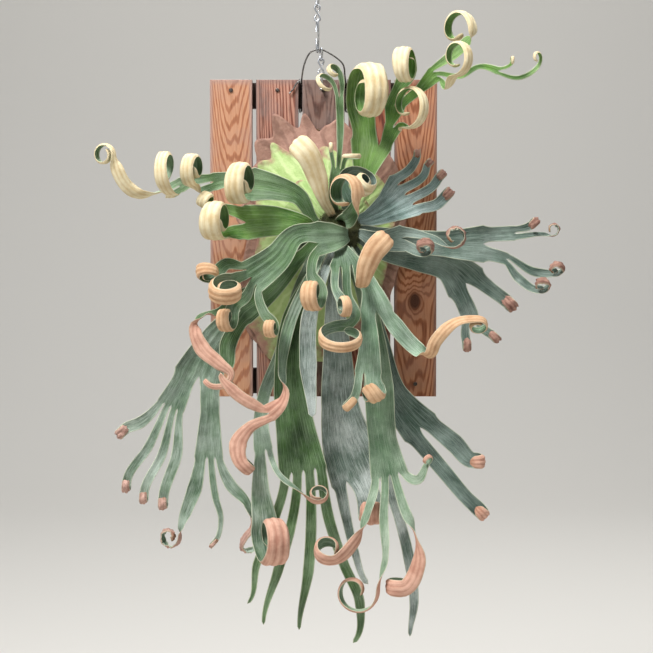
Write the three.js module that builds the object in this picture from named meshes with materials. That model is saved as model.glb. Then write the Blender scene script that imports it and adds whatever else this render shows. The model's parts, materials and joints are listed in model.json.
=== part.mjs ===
// A staghorn fern grown on a slatted softwood board that hangs from a wire chain.
// Millimetres, +Z up. The origin is where the top hook bears on what holds it, and the fern faces -Y.
import * as THREE from 'three';

// Board: five planed planks, nailed to two battens behind them.
const PLANK_WIDTH = 63;
const PLANK_THICKNESS = 19;
const PLANK_HEIGHT = 474;
const PLANK_GAP = 6;
const BOARD_CENTRE_X = 9;
const BOARD_TOP = -151.5;
const BOARD_FRONT = 7;
const BATTEN_HEIGHT = 38;
const BATTEN_INSET = 3;
const EDGE_ROUNDING = 0.8;
const SEAT_GAP = 0.3;

// Nails: one through every plank into each batten.
const NAIL_SHANK = 2.6;
const NAIL_HEAD = 6;
const NAIL_HEAD_THICKNESS = 1.2;
const NAIL_LENGTH = 33;
const NAIL_HOLE = 3.6;
const NAIL_BELOW_TOP = 15.5;
const NAIL_ABOVE_BOTTOM = 19;

// Wire bail, chain and hook.
const BAIL_WIRE = 2.4;
const BAIL_TOP = -108.2;
const BAIL_TOP_Y = 0;
const BAIL_TOP_X = 2.7;
const BAIL_CLEARANCE = 1.8;
const CHAIN_WIRE = 2.6;
const LINK_HALF_WIDTH = 4;
const HOOK_WIRE = 4;

// Root ball: a dome of moss on the planks, and the crown from which the fronds grow.
const BALL_CENTRE = { x: 0, z: -390 };
const BALL_HALF_WIDTH = 100;
const BALL_HALF_HEIGHT = 178;
const BALL_DEPTH = 52;
const CROWN = { x: 31, out: 83.5, z: -378, radius: 30, depth: 20 };
const SHIELD_THICKNESS = 2;
const SHIELD_STANDS_OUT = { dried: 5.6, green: 11.4, inner: 14.7 };

// Leaves are laid out as they are seen against the board from this place in front of it.
const EYE_DISTANCE = 2600;
const EYE = new THREE.Vector3(14, BOARD_FRONT - EYE_DISTANCE, -384);

// Leaf blades: thickness grows with width, and rows of points follow the blade's bends.
const BLADE_MIN_THICKNESS = 1.2;
const BLADE_THICKNESS_BY_WIDTH = 0.025;
const BASE_WIDTH = 11;
const BASE_GAP = 0.1;
const TROUGH = 0.1;
const ROW_STEP = 53;
const ROW_BEND = 0.94;
const FINE_STEPS = 14;
const NECK = 0.14;
const NARROW = 30;

const group = new THREE.Group();

function finish(colour, roughness, metalness = 0) {
  return new THREE.MeshStandardMaterial({ color: colour, roughness, metalness });
}

function addPiece(name, geometry, material) {
  const mesh = new THREE.Mesh(geometry, material);
  mesh.name = name;
  group.add(mesh);
  return mesh;
}

const orangeWood = finish('#b9754f', 0.8);
const pinkWood = finish('#8f6152', 0.85);
const greyWood = finish('#7c5c50', 0.85);
const redWood = finish('#7d463a', 0.85);
const battenWood = finish('#3c2b28', 0.9);
const nailSteel = finish('#4a4644', 0.5, 0.8);
const bailSteel = finish('#55504e', 0.45, 0.9);
const chainSteel = finish('#b9bcc0', 0.3, 1);
const moss = finish('#5b4630', 1);
const driedShield = finish('#8a5f50', 0.9);
const greenShield = finish('#b4c67c', 0.7);
const youngLeaf = finish('#6f9440', 0.55);
const paleLeaf = finish('#86a08e', 0.6);
const darkLeaf = finish('#4e6b55', 0.6);
const feltLeaf = finish('#d8bd93', 0.85);

// Board.

function nailHole(x, z, edge) {
  const hole = new THREE.Path();
  hole.absarc(x, z, NAIL_HOLE / 2 + edge, 0, Math.PI * 2, true);
  return hole;
}

// A board standing in the X-Z plane from front to front + thickness, with plain holes for its nails.
function timber(left, right, bottom, top, front, thickness, edge, holes) {
  const outline = new THREE.Shape();
  outline.moveTo(left + edge, bottom + edge);
  outline.lineTo(right - edge, bottom + edge);
  outline.lineTo(right - edge, top - edge);
  outline.lineTo(left + edge, top - edge);
  outline.closePath();
  outline.holes = holes;
  const geometry = new THREE.ExtrudeGeometry(outline, {
    depth: thickness - 2 * edge, curveSegments: 3, bevelEnabled: edge > 0, bevelSegments: 1,
    bevelSize: edge, bevelThickness: edge,
  });
  geometry.rotateX(Math.PI / 2);
  geometry.translate(0, front + thickness - edge, 0);
  return geometry;
}

const plankPitch = PLANK_WIDTH + PLANK_GAP;
const boardBottom = BOARD_TOP - PLANK_HEIGHT;
const boardBack = BOARD_FRONT + PLANK_THICKNESS;
const nailHeights = { upper: BOARD_TOP - NAIL_BELOW_TOP, lower: boardBottom + NAIL_ABOVE_BOTTOM };
const plankFinishes = [orangeWood, pinkWood, greyWood, redWood, orangeWood];

function plankCentre(index) {
  return BOARD_CENTRE_X + (index - 2) * plankPitch;
}

for (let index = 0; index < 5; index += 1) {
  const centre = plankCentre(index);
  const half = PLANK_WIDTH / 2;
  const holes = Object.values(nailHeights).map((height) => nailHole(centre, height, EDGE_ROUNDING));
  const geometry = timber(
    centre - half, centre + half, boardBottom, BOARD_TOP, BOARD_FRONT, PLANK_THICKNESS, EDGE_ROUNDING, holes,
  );
  addPiece(`plank_${index + 1}`, geometry, plankFinishes[index]);
}

const battenFront = boardBack + SEAT_GAP;
const battenTops = { upper: BOARD_TOP - BATTEN_INSET, lower: boardBottom + BATTEN_INSET + BATTEN_HEIGHT };
const boardHalf = 2 * plankPitch + PLANK_WIDTH / 2;

for (const [place, top] of Object.entries(battenTops)) {
  const holes = [0, 1, 2, 3, 4].map((index) => nailHole(plankCentre(index), nailHeights[place], 0));
  const geometry = timber(
    BOARD_CENTRE_X - boardHalf, BOARD_CENTRE_X + boardHalf, top - BATTEN_HEIGHT, top,
    battenFront, PLANK_THICKNESS, 0, holes,
  );
  addPiece(`batten_${place}`, geometry, battenWood);
}

function nail() {
  const shank = NAIL_SHANK / 2;
  const head = NAIL_HEAD / 2;
  const profile = [
    [0, -NAIL_LENGTH], [shank, -NAIL_LENGTH + 5], [shank, 0], [head, 0],
    [head, NAIL_HEAD_THICKNESS * 0.7], [0, NAIL_HEAD_THICKNESS],
  ];
  return new THREE.LatheGeometry(profile.map(([r, h]) => new THREE.Vector2(r, h)), 6);
}

for (const [place, height] of Object.entries(nailHeights)) {
  for (let index = 0; index < 5; index += 1) {
    const piece = addPiece(`nail_${index + 1}_${place}`, nail(), nailSteel);
    piece.rotation.x = Math.PI;
    piece.position.set(plankCentre(index), BOARD_FRONT - SEAT_GAP, height);
  }
}

// Bail, chain and hook.

function wire(points, diameter, sides, steps) {
  const section = new THREE.Shape();
  for (let side = 0; side < sides; side += 1) {
    const angle = (side / sides) * Math.PI * 2;
    const x = (Math.cos(angle) * diameter) / 2;
    const y = (Math.sin(angle) * diameter) / 2;
    if (side === 0) section.moveTo(x, y);
    else section.lineTo(x, y);
  }
  section.closePath();
  const path = new THREE.CatmullRomCurve3(points.map(([x, y, z]) => new THREE.Vector3(x, y, z)));
  return new THREE.ExtrudeGeometry(section, { steps, extrudePath: path, bevelEnabled: false });
}

// Half of the bail, from the top of the arch down through a gap, under the batten, up behind it,
// forward over it through the same gap, and out to a short tail on the front of the next plank.
function bailHalf(side) {
  const gapX = BOARD_CENTRE_X + side * (plankPitch / 2);
  const legX = gapX - side * 1.5;
  const returnX = gapX + side * 1.5;
  const clear = BAIL_WIRE / 2 + BAIL_CLEARANCE;
  const battenTop = battenTops.upper;
  const battenBottom = battenTop - BATTEN_HEIGHT;
  const battenBack = battenFront + PLANK_THICKNESS;
  const legY = battenFront - clear;
  const rise = BAIL_TOP - BOARD_TOP;
  return [
    [BAIL_TOP_X + side * 13, BAIL_TOP_Y + 1, BAIL_TOP - rise * 0.08],
    [BOARD_CENTRE_X + side * 28, BAIL_TOP_Y + 5, BAIL_TOP - rise * 0.44],
    [legX - side * 1, BAIL_TOP_Y + 14, BOARD_TOP + 6],
    [legX, legY, BOARD_TOP - 8],
    [legX, legY, battenBottom + 6],
    [legX, legY + 1, battenBottom - clear - 0.6],
    [gapX, battenFront + PLANK_THICKNESS / 2, battenBottom - clear - 1.6],
    [returnX, battenBack + clear + 0.6, battenBottom - clear],
    [returnX, battenBack + clear + 0.2, battenBottom + 12],
    [returnX, battenBack + clear + 0.2, battenTop - 8],
    [returnX, battenBack + clear, battenTop + clear],
    [returnX, battenBack - 8, battenTop + clear + 1.5],
    [returnX, battenFront - 3, battenTop + clear + 0.6],
    [returnX, BOARD_FRONT + 4, battenTop + clear + 0.4],
    [returnX, BOARD_FRONT - clear - 0.6, battenTop + 1],
    [returnX + side * 5, BOARD_FRONT - clear - 1.6, battenTop - 4],
    [returnX + side * 9, BOARD_FRONT - clear - 0.4, battenTop - 11],
    [returnX + side * 15, BOARD_FRONT - clear - 1, battenTop - 18],
  ];
}

const bailPoints = [
  ...bailHalf(-1).reverse(), [BAIL_TOP_X, BAIL_TOP_Y, BAIL_TOP], ...bailHalf(1),
];
addPiece('wire_bail', wire(bailPoints, BAIL_WIRE, 5, 68), bailSteel);

// One link: wire bent to a figure of eight, crossing itself at the waist.
function chainLink(x, top, bottom, turn) {
  const turns = 40;
  const start = 0.56;
  const middle = (top + bottom) / 2;
  const half = (top - bottom) / 2;
  const points = [];
  for (let step = 0; step <= turns; step += 1) {
    const angle = Math.PI * (start + (step / turns) * 1.86);
    const across = LINK_HALF_WIDTH * Math.sin(2 * angle);
    const through = (CHAIN_WIRE * 0.62) * Math.sin(angle);
    const cos = Math.cos(turn);
    const sin = Math.sin(turn);
    points.push([x + across * cos - through * sin, across * sin + through * cos, middle + half * Math.cos(angle)]);
  }
  return wire(points, CHAIN_WIRE, 5, Math.round(10 + half * 0.9));
}

const EDGE_ON = Math.PI / 2;
const FACE_ON = 0;
const linkPlaces = [
  [0, -24, -45, EDGE_ON],
  [0, -42.1, -66, FACE_ON],
  [0, -62.6, -112, EDGE_ON],
  [5.4, -105.4, -124, EDGE_ON],
  [5.4, -121.1, -146, FACE_ON],
  [5.4, -143.1, -168, EDGE_ON],
];
linkPlaces.forEach(([x, top, bottom, turn], index) => {
  addPiece(`chain_link_${index + 1}`, chainLink(x, top, bottom, turn), chainSteel);
});

// The hook is an S of wire: its upper bow bears on whatever holds the whole thing up.
const hookRoute = [
  [-7.2, -9.5], [-8, -6], [-5.7, -0.4], [0, 2], [5.7, -0.4], [8, -6], [6.4, -11.5], [0.5, -15],
  [-4.8, -17.5], [-6.5, -21.6], [-4.7, -25.8], [-0.5, -27.6], [3.7, -25.8], [5.5, -21.6], [7.5, -17],
];
addPiece('hang_hook', wire(hookRoute.map(([x, z]) => [x, 0, z]), HOOK_WIRE, 6, 24), chainSteel);

// Root ball and shield fronds.

// How far the moss dome stands out from the planks.
function ballDepth(x, z) {
  const across = (x - BALL_CENTRE.x) / BALL_HALF_WIDTH;
  const along = (z - BALL_CENTRE.z) / BALL_HALF_HEIGHT;
  const rest = 1 - across * across - along * along;
  return rest > 0 ? BALL_DEPTH * rest ** 1.5 : 0;
}

// A smooth outline round the crown through [degrees, radius] pairs.
function outlineRadius(pairs, degrees) {
  const count = pairs.length;
  for (let index = 0; index < count; index += 1) {
    const [from, radius] = pairs[index];
    const [next, nextRadius] = pairs[(index + 1) % count];
    const span = (next - from + 360) % 360;
    const part = (degrees - from + 360) % 360;
    if (part < span) {
      const ease = part / span;
      return radius + (nextRadius - radius) * ease * ease * (3 - 2 * ease);
    }
  }
  return pairs[0][1];
}

// Spoke directions for an outline: its own corners, and more where they are far apart.
function spokesOf(pairs, widest) {
  const spokes = [];
  pairs.forEach(([from], index) => {
    const span = (pairs[(index + 1) % pairs.length][0] - from + 360) % 360;
    const parts = Math.ceil(span / widest);
    for (let part = 0; part < parts; part += 1) spokes.push((from + (span * part) / parts) % 360);
  });
  return spokes;
}

// A closed body between two depths over a round grid with its middle at the crown.
function roundPad(spokes, rings, radiusAt, backAt, frontAt) {
  const positions = [];
  const faces = [];
  for (const depthAt of [frontAt, backAt]) {
    positions.push(CROWN.x, BOARD_FRONT - depthAt(CROWN.x, CROWN.z, 0, 0), CROWN.z);
    for (let ring = 1; ring <= rings; ring += 1) {
      for (const degrees of spokes) {
        const reach = (radiusAt(degrees) * ring) / rings;
        const x = CROWN.x + reach * Math.cos((degrees * Math.PI) / 180);
        const z = CROWN.z + reach * Math.sin((degrees * Math.PI) / 180);
        positions.push(x, BOARD_FRONT - depthAt(x, z, degrees, ring / rings), z);
      }
    }
  }
  const count = spokes.length;
  const layer = 1 + rings * count;
  const at = (side, ring, spoke) => side * layer + (ring === 0 ? 0 : 1 + (ring - 1) * count + (spoke % count));
  for (let spoke = 0; spoke < count; spoke += 1) {
    for (let ring = 0; ring < rings; ring += 1) {
      for (const side of [0, 1]) {
        const a = at(side, ring, spoke);
        const b = at(side, ring + 1, spoke);
        const c = at(side, ring + 1, spoke + 1);
        const d = at(side, ring, spoke + 1);
        const corners = side === 0 ? [[a, b, c], [a, c, d]] : [[a, c, b], [a, d, c]];
        if (ring === 0) corners.pop();
        faces.push(...corners);
      }
    }
    const p = at(0, rings, spoke);
    const q = at(0, rings, spoke + 1);
    faces.push([p, p + layer, q + layer], [p, q + layer, q]);
  }
  return meshFrom(positions, faces);
}

function meshFrom(positions, faces) {
  const geometry = new THREE.BufferGeometry();
  geometry.setAttribute('position', new THREE.Float32BufferAttribute(positions, 3));
  geometry.setIndex(faces.flat());
  geometry.computeVertexNormals();
  return geometry;
}

const mossOutline = [
  [0, 88], [30, 96], [60, 128], [90, 148], [110, 160], [130, 150], [160, 134], [180, 122], [210, 142],
  [235, 178], [255, 178], [280, 150], [310, 112], [335, 92],
];
const driedOutline = [
  [0, 100], [30, 112], [60, 140], [80, 150], [90, 168], [96, 160], [101, 152], [106, 184], [111, 166],
  [119, 200], [125, 172], [132, 184], [140, 160], [150, 166], [160, 146], [172, 154], [182, 136],
  [200, 148], [218, 190], [232, 206], [250, 198], [270, 180], [300, 128], [330, 106],
];
const greenOutline = [
  [0, 84], [30, 92], [60, 104], [85, 112], [100, 128], [110, 120], [116, 146], [121, 138], [127, 166],
  [133, 148], [139, 158], [147, 140], [165, 128], [180, 118], [196, 128], [212, 150], [228, 196],
  [243, 216], [252, 190], [263, 196], [275, 150], [300, 108], [330, 88],
];
const innerOutline = [
  [0, 56], [40, 60], [70, 70], [95, 84], [110, 76], [130, 96], [145, 84], [165, 92], [190, 80],
  [215, 94], [240, 88], [265, 92], [290, 70], [325, 58],
];

addPiece('moss_root_ball', roundPad(
  spokesOf(mossOutline, 16), 5, (degrees) => outlineRadius(mossOutline, degrees), () => SEAT_GAP,
  (x, z) => 1.5 + ballDepth(x, z),
), moss);

// A shield lies over the ball, ribbed from the crown outward, with its lobed rim lifting off a little.
function shield(layer, outline, rib, lift, material) {
  const base = SHIELD_STANDS_OUT[layer];
  const middle = (x, z, degrees, part) => base + ballDepth(x, z)
    + rib * part * Math.cos((degrees * Math.PI) / 15) + lift * part ** 4;
  addPiece(`shield_frond_${layer}`, roundPad(
    spokesOf(outline, 16), 5, (degrees) => outlineRadius(outline, degrees),
    (x, z, degrees, part) => middle(x, z, degrees, part) - SHIELD_THICKNESS / 2,
    (x, z, degrees, part) => middle(x, z, degrees, part) + SHIELD_THICKNESS / 2,
  ), material);
}
shield('dried', driedOutline, 0.3, 0.5, driedShield);
shield('green', greenOutline, 0.6, 2, greenShield);
shield('inner', innerOutline, 0.6, 3, greenShield);

const crownGeometry = new THREE.SphereGeometry(1, 12, 8);
crownGeometry.scale(CROWN.radius, CROWN.radius, CROWN.depth);
crownGeometry.rotateX(Math.PI / 2);
crownGeometry.translate(CROWN.x, BOARD_FRONT - CROWN.out, CROWN.z);
addPiece('crown', crownGeometry, moss);

// Leaf blades. A blade is a run of [x, out, z, width, facing] points as they are seen against the board,
// where out is the distance in front of it and facing names the way the upper side looks.
// It ends in a fork of further blades, in a roll of its tip, or in a plain point.

const WAYS = { F: [0, -1, 0], B: [0, 1, 0], L: [-1, 0, 0], R: [1, 0, 0], U: [0, 0, 1], D: [0, 0, -1] };

function toward(word) {
  const sum = new THREE.Vector3();
  for (const letter of word) sum.add(new THREE.Vector3(...WAYS[letter]));
  return sum.normalize();
}

function blade(run, ending = {}) {
  return { run, share: 1, ...ending };
}

function forks(...children) {
  return { children };
}

// The tip turns from its heading toward its upper side, from the first radius down to the last.
function roll(heading, radius, lastRadius, turns, drift = 0, tipWidth = 0.7) {
  return { heading, curl: { radius, lastRadius, turns, drift, tipWidth } };
}

function points(heading) {
  return { heading };
}

// Gives a branch a larger or smaller part of its parent's width than its neighbours have.
function wide(share, leaf) {
  return { ...leaf, share };
}

function knotAt([x, out, z, width, facing]) {
  const near = out / EYE_DISTANCE;
  const place = new THREE.Vector3(x, BOARD_FRONT, z).lerp(EYE, near);
  return { place, width: width * (1 - near), normal: toward(facing) };
}

function squareTo(normal, tangent) {
  return normal.clone().addScaledVector(tangent, -normal.dot(tangent)).normalize();
}

// Unit directions through the knots, leaning on the nearer neighbour.
function knotTangents(knots, first, last) {
  const count = knots.length;
  const chords = [];
  for (let index = 1; index < count; index += 1) {
    chords.push(knots[index].place.clone().sub(knots[index - 1].place));
  }
  const tangents = [];
  for (let index = 0; index < count; index += 1) {
    const before = chords[index - 1];
    const after = chords[index];
    if (!before) tangents.push(first.clone());
    else if (!after) {
      const end = before.clone().normalize().multiplyScalar(1.6).addScaledVector(tangents[index - 1], -0.6);
      tangents.push(last ? last.clone() : end.normalize());
    } else {
      const lean = before.clone().multiplyScalar(after.length() / before.length());
      tangents.push(lean.add(after.clone().multiplyScalar(before.length() / after.length())).normalize());
    }
  }
  return { tangents, chords };
}

function samplesOf(leaf, start) {
  const knots = [start, ...leaf.run.map(knotAt)];
  const last = leaf.heading ? toward(leaf.heading) : null;
  const { tangents, chords } = knotTangents(knots, start.tangent, last);
  const samples = [];
  for (let index = 0; index < chords.length; index += 1) {
    const from = knots[index];
    const to = knots[index + 1];
    const length = chords[index].length();
    for (let step = index === 0 ? 0 : 1; step <= FINE_STEPS; step += 1) {
      const t = step / FINE_STEPS;
      const ease = t * t * (3 - 2 * t);
      const place = from.place.clone().multiplyScalar(1 - ease).addScaledVector(to.place, ease)
        .addScaledVector(tangents[index], length * t * (1 - t) * (1 - t))
        .addScaledVector(tangents[index + 1], -length * t * t * (1 - t));
      const normal = from.normal.clone().lerp(to.normal, ease);
      samples.push({ place, normal, width: from.width + (to.width - from.width) * t });
    }
  }
  samples.forEach((sample, index) => {
    const before = samples[Math.max(0, index - 1)].place;
    const after = samples[Math.min(samples.length - 1, index + 1)].place;
    sample.tangent = after.clone().sub(before).normalize();
  });
  samples[0].tangent.copy(start.tangent);
  if (last) samples[samples.length - 1].tangent.copy(last);
  for (const sample of samples) sample.normal = squareTo(sample.normal, sample.tangent);
  if (leaf.curl) addCurl(samples, leaf.curl);
  let travelled = 0;
  samples.forEach((sample, index) => {
    if (index > 0) travelled += sample.place.distanceTo(samples[index - 1].place);
    sample.travelled = travelled;
  });
  return samples;
}

function addCurl(samples, curl) {
  const end = samples[samples.length - 1];
  const count = Math.ceil(curl.turns * 28);
  const bend = (curl.turns * Math.PI * 2) / count;
  const across = end.tangent.clone().cross(end.normal);
  const place = end.place.clone();
  for (let step = 1; step <= count; step += 1) {
    const part = step / count;
    const radius = curl.radius + (curl.lastRadius - curl.radius) * part;
    const halfway = (step - 0.5) * bend;
    const angle = step * bend;
    place.addScaledVector(end.tangent, Math.cos(halfway) * radius * bend);
    place.addScaledVector(end.normal, Math.sin(halfway) * radius * bend);
    place.addScaledVector(across, (curl.drift * bend) / (Math.PI * 2));
    samples.push({
      place: place.clone(),
      tangent: end.tangent.clone().multiplyScalar(Math.cos(angle)).addScaledVector(end.normal, Math.sin(angle)),
      normal: end.normal.clone().multiplyScalar(Math.cos(angle)).addScaledVector(end.tangent, -Math.sin(angle)),
      width: end.width * (1 + (curl.tipWidth - 1) * part),
    });
  }
}

// A few of the samples, closer together where the blade bends or twists, and two for the rounded tip.
function rowsOf(samples, leaf, neck) {
  const length = samples[samples.length - 1].travelled;
  const costs = [0];
  for (let index = 1; index < samples.length; index += 1) {
    const a = samples[index - 1];
    const b = samples[index];
    const turn = a.tangent.angleTo(b.tangent) + 0.5 * a.normal.angleTo(b.normal);
    costs.push(costs[index - 1] + (b.travelled - a.travelled) / ROW_STEP + turn / ROW_BEND);
  }
  const total = costs[costs.length - 1];
  const count = Math.max(2, Math.round(total));
  const wanted = [];
  for (let row = 1; row <= count; row += 1) wanted.push((total * row) / count);
  const ends = !leaf.children;
  const tipStart = length - samples[samples.length - 1].width * 0.4;
  const rows = [];
  let index = 1;
  for (const cost of wanted) {
    while (index < samples.length - 1 && costs[index] < cost) index += 1;
    rows.push(samples[index]);
  }
  if (ends) {
    const shoulder = samples.findIndex((sample) => sample.travelled >= tipStart);
    if (shoulder > 0 && !rows.includes(samples[shoulder])) rows.push(samples[shoulder]);
    rows.sort((a, b) => a.travelled - b.travelled);
  }
  return rows.map((sample) => {
    let width = sample.width;
    if (neck) width *= 1 - NECK * Math.min(1, sample.travelled / (0.6 * samples[0].width));
    if (ends && sample.travelled > tipStart) width *= 1 - 0.55 * ((sample.travelled - tipStart) / (length - tipStart));
    return { ...sample, width };
  });
}

// Joins two rows of points that may hold different numbers of points.
function stitch(faces, lower, upper) {
  let i = 0;
  let j = 0;
  while (i < lower.length - 1 || j < upper.length - 1) {
    const nextLower = (i + 1) / (lower.length - 1);
    const nextUpper = (j + 1) / (upper.length - 1);
    if (j === upper.length - 1 || (i < lower.length - 1 && nextLower <= nextUpper)) {
      faces.push([lower[i], lower[i + 1], upper[j]]);
      i += 1;
    } else {
      faces.push([lower[i], upper[j + 1], upper[j]]);
      j += 1;
    }
  }
}

function addRow(sheet, row, columns, cuts) {
  const across = row.tangent.clone().cross(row.normal);
  const thickness = BLADE_MIN_THICKNESS + BLADE_THICKNESS_BY_WIDTH * row.width;
  const indices = [];
  for (let column = 0; column <= columns; column += 1) {
    const u = 2 * (cuts ? cuts[column] : column / columns) - 1;
    const place = row.place.clone().addScaledVector(across, (row.width / 2) * u);
    if (columns > 1) place.addScaledVector(row.normal, TROUGH * row.width * (u * u - 0.5));
    indices.push(sheet.places.length);
    sheet.places.push(place);
    sheet.normals.push(row.normal);
    sheet.thicknesses.push(thickness);
  }
  return indices;
}

function grow(sheet, leaf, start, firstRow, neck) {
  const samples = samplesOf(leaf, start);
  const branches = leaf.children ? leaf.children.length : 0;
  const narrow = Math.max(samples[samples.length - 1].width, start.width) < NARROW;
  const columns = branches || (narrow ? 1 : 2);
  const shares = (leaf.children ?? []).map((child) => child.share);
  const whole = shares.reduce((sum, share) => sum + share, 0);
  const cuts = [0];
  for (const share of shares) cuts.push(cuts[cuts.length - 1] + share / whole);
  let lower = firstRow;
  const rows = rowsOf(samples, leaf, neck);
  const end = rows[rows.length - 1];
  for (const row of rows) {
    const upper = addRow(sheet, row, columns, branches && row === end ? cuts : null);
    stitch(sheet.faces, lower, upper);
    lower = upper;
  }
  (leaf.children ?? []).forEach((child, index) => {
    const shared = [lower[index], lower[index + 1]];
    const left = sheet.places[shared[0]];
    const right = sheet.places[shared[1]];
    const place = left.clone().lerp(right, 0.5);
    const out = knotAt(child.run[0]).place.sub(place).normalize();
    const tangent = end.tangent.clone().multiplyScalar(1.1).add(out).normalize();
    const next = { place, width: left.distanceTo(right), normal: squareTo(end.normal, tangent), tangent };
    grow(sheet, child, next, shared, true);
  });
}

// Gives the sheet its thickness and closes it all round.
function thicken(sheet) {
  const count = sheet.places.length;
  const positions = [];
  for (const side of [0.5, -0.5]) {
    sheet.places.forEach((place, index) => {
      const point = place.clone().addScaledVector(sheet.normals[index], side * sheet.thicknesses[index]);
      positions.push(point.x, point.y, point.z);
    });
  }
  const faces = [];
  const edges = new Set();
  for (const [a, b, c] of sheet.faces) {
    faces.push([a, b, c], [a + count, c + count, b + count]);
    for (const edge of [[a, b], [b, c], [c, a]]) edges.add(edge.join());
  }
  for (const edge of edges) {
    const [a, b] = edge.split(',').map(Number);
    if (!edges.has([b, a].join())) faces.push([b, a, a + count], [b, a + count, b + count]);
  }
  return meshFrom(positions, faces);
}

// A frond starts on the crown, at an angle round it and a lean toward the front.
function frond(name, material, angle, lean, leaf) {
  const round = (angle * Math.PI) / 180;
  const forward = (lean * Math.PI) / 180;
  const way = new THREE.Vector3(
    Math.cos(round) * Math.cos(forward), -Math.sin(forward), Math.sin(round) * Math.cos(forward),
  );
  const sizes = new THREE.Vector3(CROWN.radius, CROWN.depth, CROWN.radius);
  const tangent = way.clone().divide(sizes).normalize();
  const place = way.clone().multiply(sizes).addScaledVector(tangent, BASE_GAP);
  place.add(new THREE.Vector3(CROWN.x, BOARD_FRONT - CROWN.out, CROWN.z));
  const normal = squareTo(toward(leaf.run[0][4]), tangent);
  const start = { place, width: BASE_WIDTH, normal, tangent };
  const sheet = { places: [], normals: [], thicknesses: [], faces: [] };
  const firstRow = addRow(sheet, start, 2);
  grow(sheet, leaf, start, firstRow, false);
  addPiece(name, thicken(sheet), material);
}

frond('frond_top_right', youngLeaf, 68, 0, blade(
  [[66, 84, -308, 20, 'F'], [73, 84, -276, 42, 'F'], [80, 84, -248, 62, 'F']],
  forks(
    wide(2.2, blade([[68, 82, -214, 50, 'F'], [62, 82, -180, 58, 'FFFR']], roll('U', 47, 17, 1.35, -2, 0.5))),
    blade([[112, 90, -224, 34, 'F']], forks(
      blade([[115, 92, -192, 42, 'F']], forks(
        blade([[124, 110, -160, 26, 'F'], [134, 114, -138, 40, 'FFFL']], roll('U', 30, 13, 1.25, 8, 0.5)),
        blade([[154, 96, -164, 20, 'F'], [174, 104, -144, 34, 'F']], forks(
          blade([[202, 108, -114, 22, 'F'], [220, 112, -98, 24, 'FL'], [232, 116, -78, 26, 'LB']],
            roll('U', 30, 11, 0.95)),
          blade([[214, 106, -146, 11, 'F'], [242, 108, -132, 10, 'F'], [268, 112, -138, 16, 'F']], forks(
            blade([[290, 116, -124, 7, 'F']], roll('U', 6, 4, 0.9)),
            blade([[304, 108, -148, 9, 'F'], [333, 110, -120, 9, 'FL']], roll('U', 9, 5, 0.8)),
          )),
          blade([[192, 118, -164, 15, 'FU'], [206, 146, -146, 26, 'U']], roll('FR', 27, 12, 1.1, 0, 0.5)),
        )),
      )),
      blade([[138, 132, -223, 26, 'U']], roll('FR', 33, 13, 1.1, 10, 0.5)),
    )),
  ),
));

frond('frond_top_strap', paleLeaf, 100, 12, blade(
  [[24, 112, -312, 13, 'F'], [30, 112, -286, 20, 'F']],
  forks(
    blade([[20, 116, -254, 8, 'F']], roll('U', 8, 5, 0.9)),
    blade([[34, 112, -230, 14, 'F'], [33, 112, -180, 16, 'F']], forks(
      blade([[20, 116, -152, 11, 'FL']], roll('UL', 17, 11, 0.8)),
      blade([[36, 110, -152, 11, 'F'], [30, 112, -136, 13, 'FL']], roll('UL', 12, 7, 0.8)),
    )),
    blade([[47, 122, -266, 10, 'F']], roll('R', 17, 12, 0.7)),
  ),
));

frond('frond_far_left', paleLeaf, 158, 0, blade(
  [[-30, 94, -324, 26, 'F'], [-64, 94, -312, 38, 'F'], [-96, 92, -307, 50, 'F']],
  forks(
    blade([[-120, 110, -330, 32, 'FU'], [-117, 138, -334, 44, 'U']], roll('FFFL', 31, 12, 1.3, -8, 0.5)),
    blade([[-132, 90, -299, 28, 'F'], [-154, 91, -303, 36, 'F']], forks(
      blade([[-177, 110, -317, 22, 'FU'], [-189, 134, -308, 30, 'U']], roll('FFFL', 24, 10, 1.3, -6, 0.6)),
      blade([[-188, 91, -302, 22, 'F'], [-204, 92, -308, 30, 'F']], forks(
        blade([[-220, 116, -326, 18, 'FU'], [-218, 142, -322, 30, 'U']], roll('FFFL', 34, 14, 1.1, 16, 0.6)),
        blade([[-238, 98, -319, 24, 'U'], [-264, 110, -323, 26, 'BU'], [-284, 118, -311, 26, 'B'],
          [-299, 126, -286, 26, 'B'], [-304, 128, -264, 17, 'LLB']], roll('U', 17, 9, 1.2)),
      )),
    )),
  ),
));

frond('frond_left_broad', youngLeaf, 182, 8, blade(
  [[-20, 104, -368, 28, 'F'], [-62, 102, -362, 44, 'F'], [-106, 102, -364, 52, 'F']],
  forks(
    blade([[-136, 120, -382, 38, 'FU'], [-154, 150, -388, 48, 'U']], roll('FFFL', 28, 13, 1.3, -6, 0.5)),
    blade([[-136, 101, -344, 20, 'F'], [-154, 108, -344, 22, 'F'], [-172, 124, -340, 28, 'FU']],
      roll('FFL', 12, 7, 1.1, -4, 0.6)),
  ),
));

frond('frond_cream_band', paleLeaf, 112, 36, blade(
  [[10, 120, -332, 16, 'B'], [0, 134, -298, 30, 'B'], [-20, 146, -256, 36, 'B']],
  roll('UL', 18, 10, 0.9, 0, 0.8),
));

frond('frond_peach_ring', paleLeaf, 84, 58, blade(
  [[44, 130, -360, 26, 'F'], [56, 156, -346, 26, 'FL'], [62, 188, -322, 28, 'LB']],
  roll('U', 28, 15, 0.85),
));

frond('frond_crown_fold', darkLeaf, 58, 20, blade(
  [[48, 112, -338, 26, 'F'], [38, 120, -304, 18, 'F'], [54, 126, -288, 26, 'FD'], [74, 128, -298, 28, 'FD']],
  roll('RD', 18, 7, 1.4),
));

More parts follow.
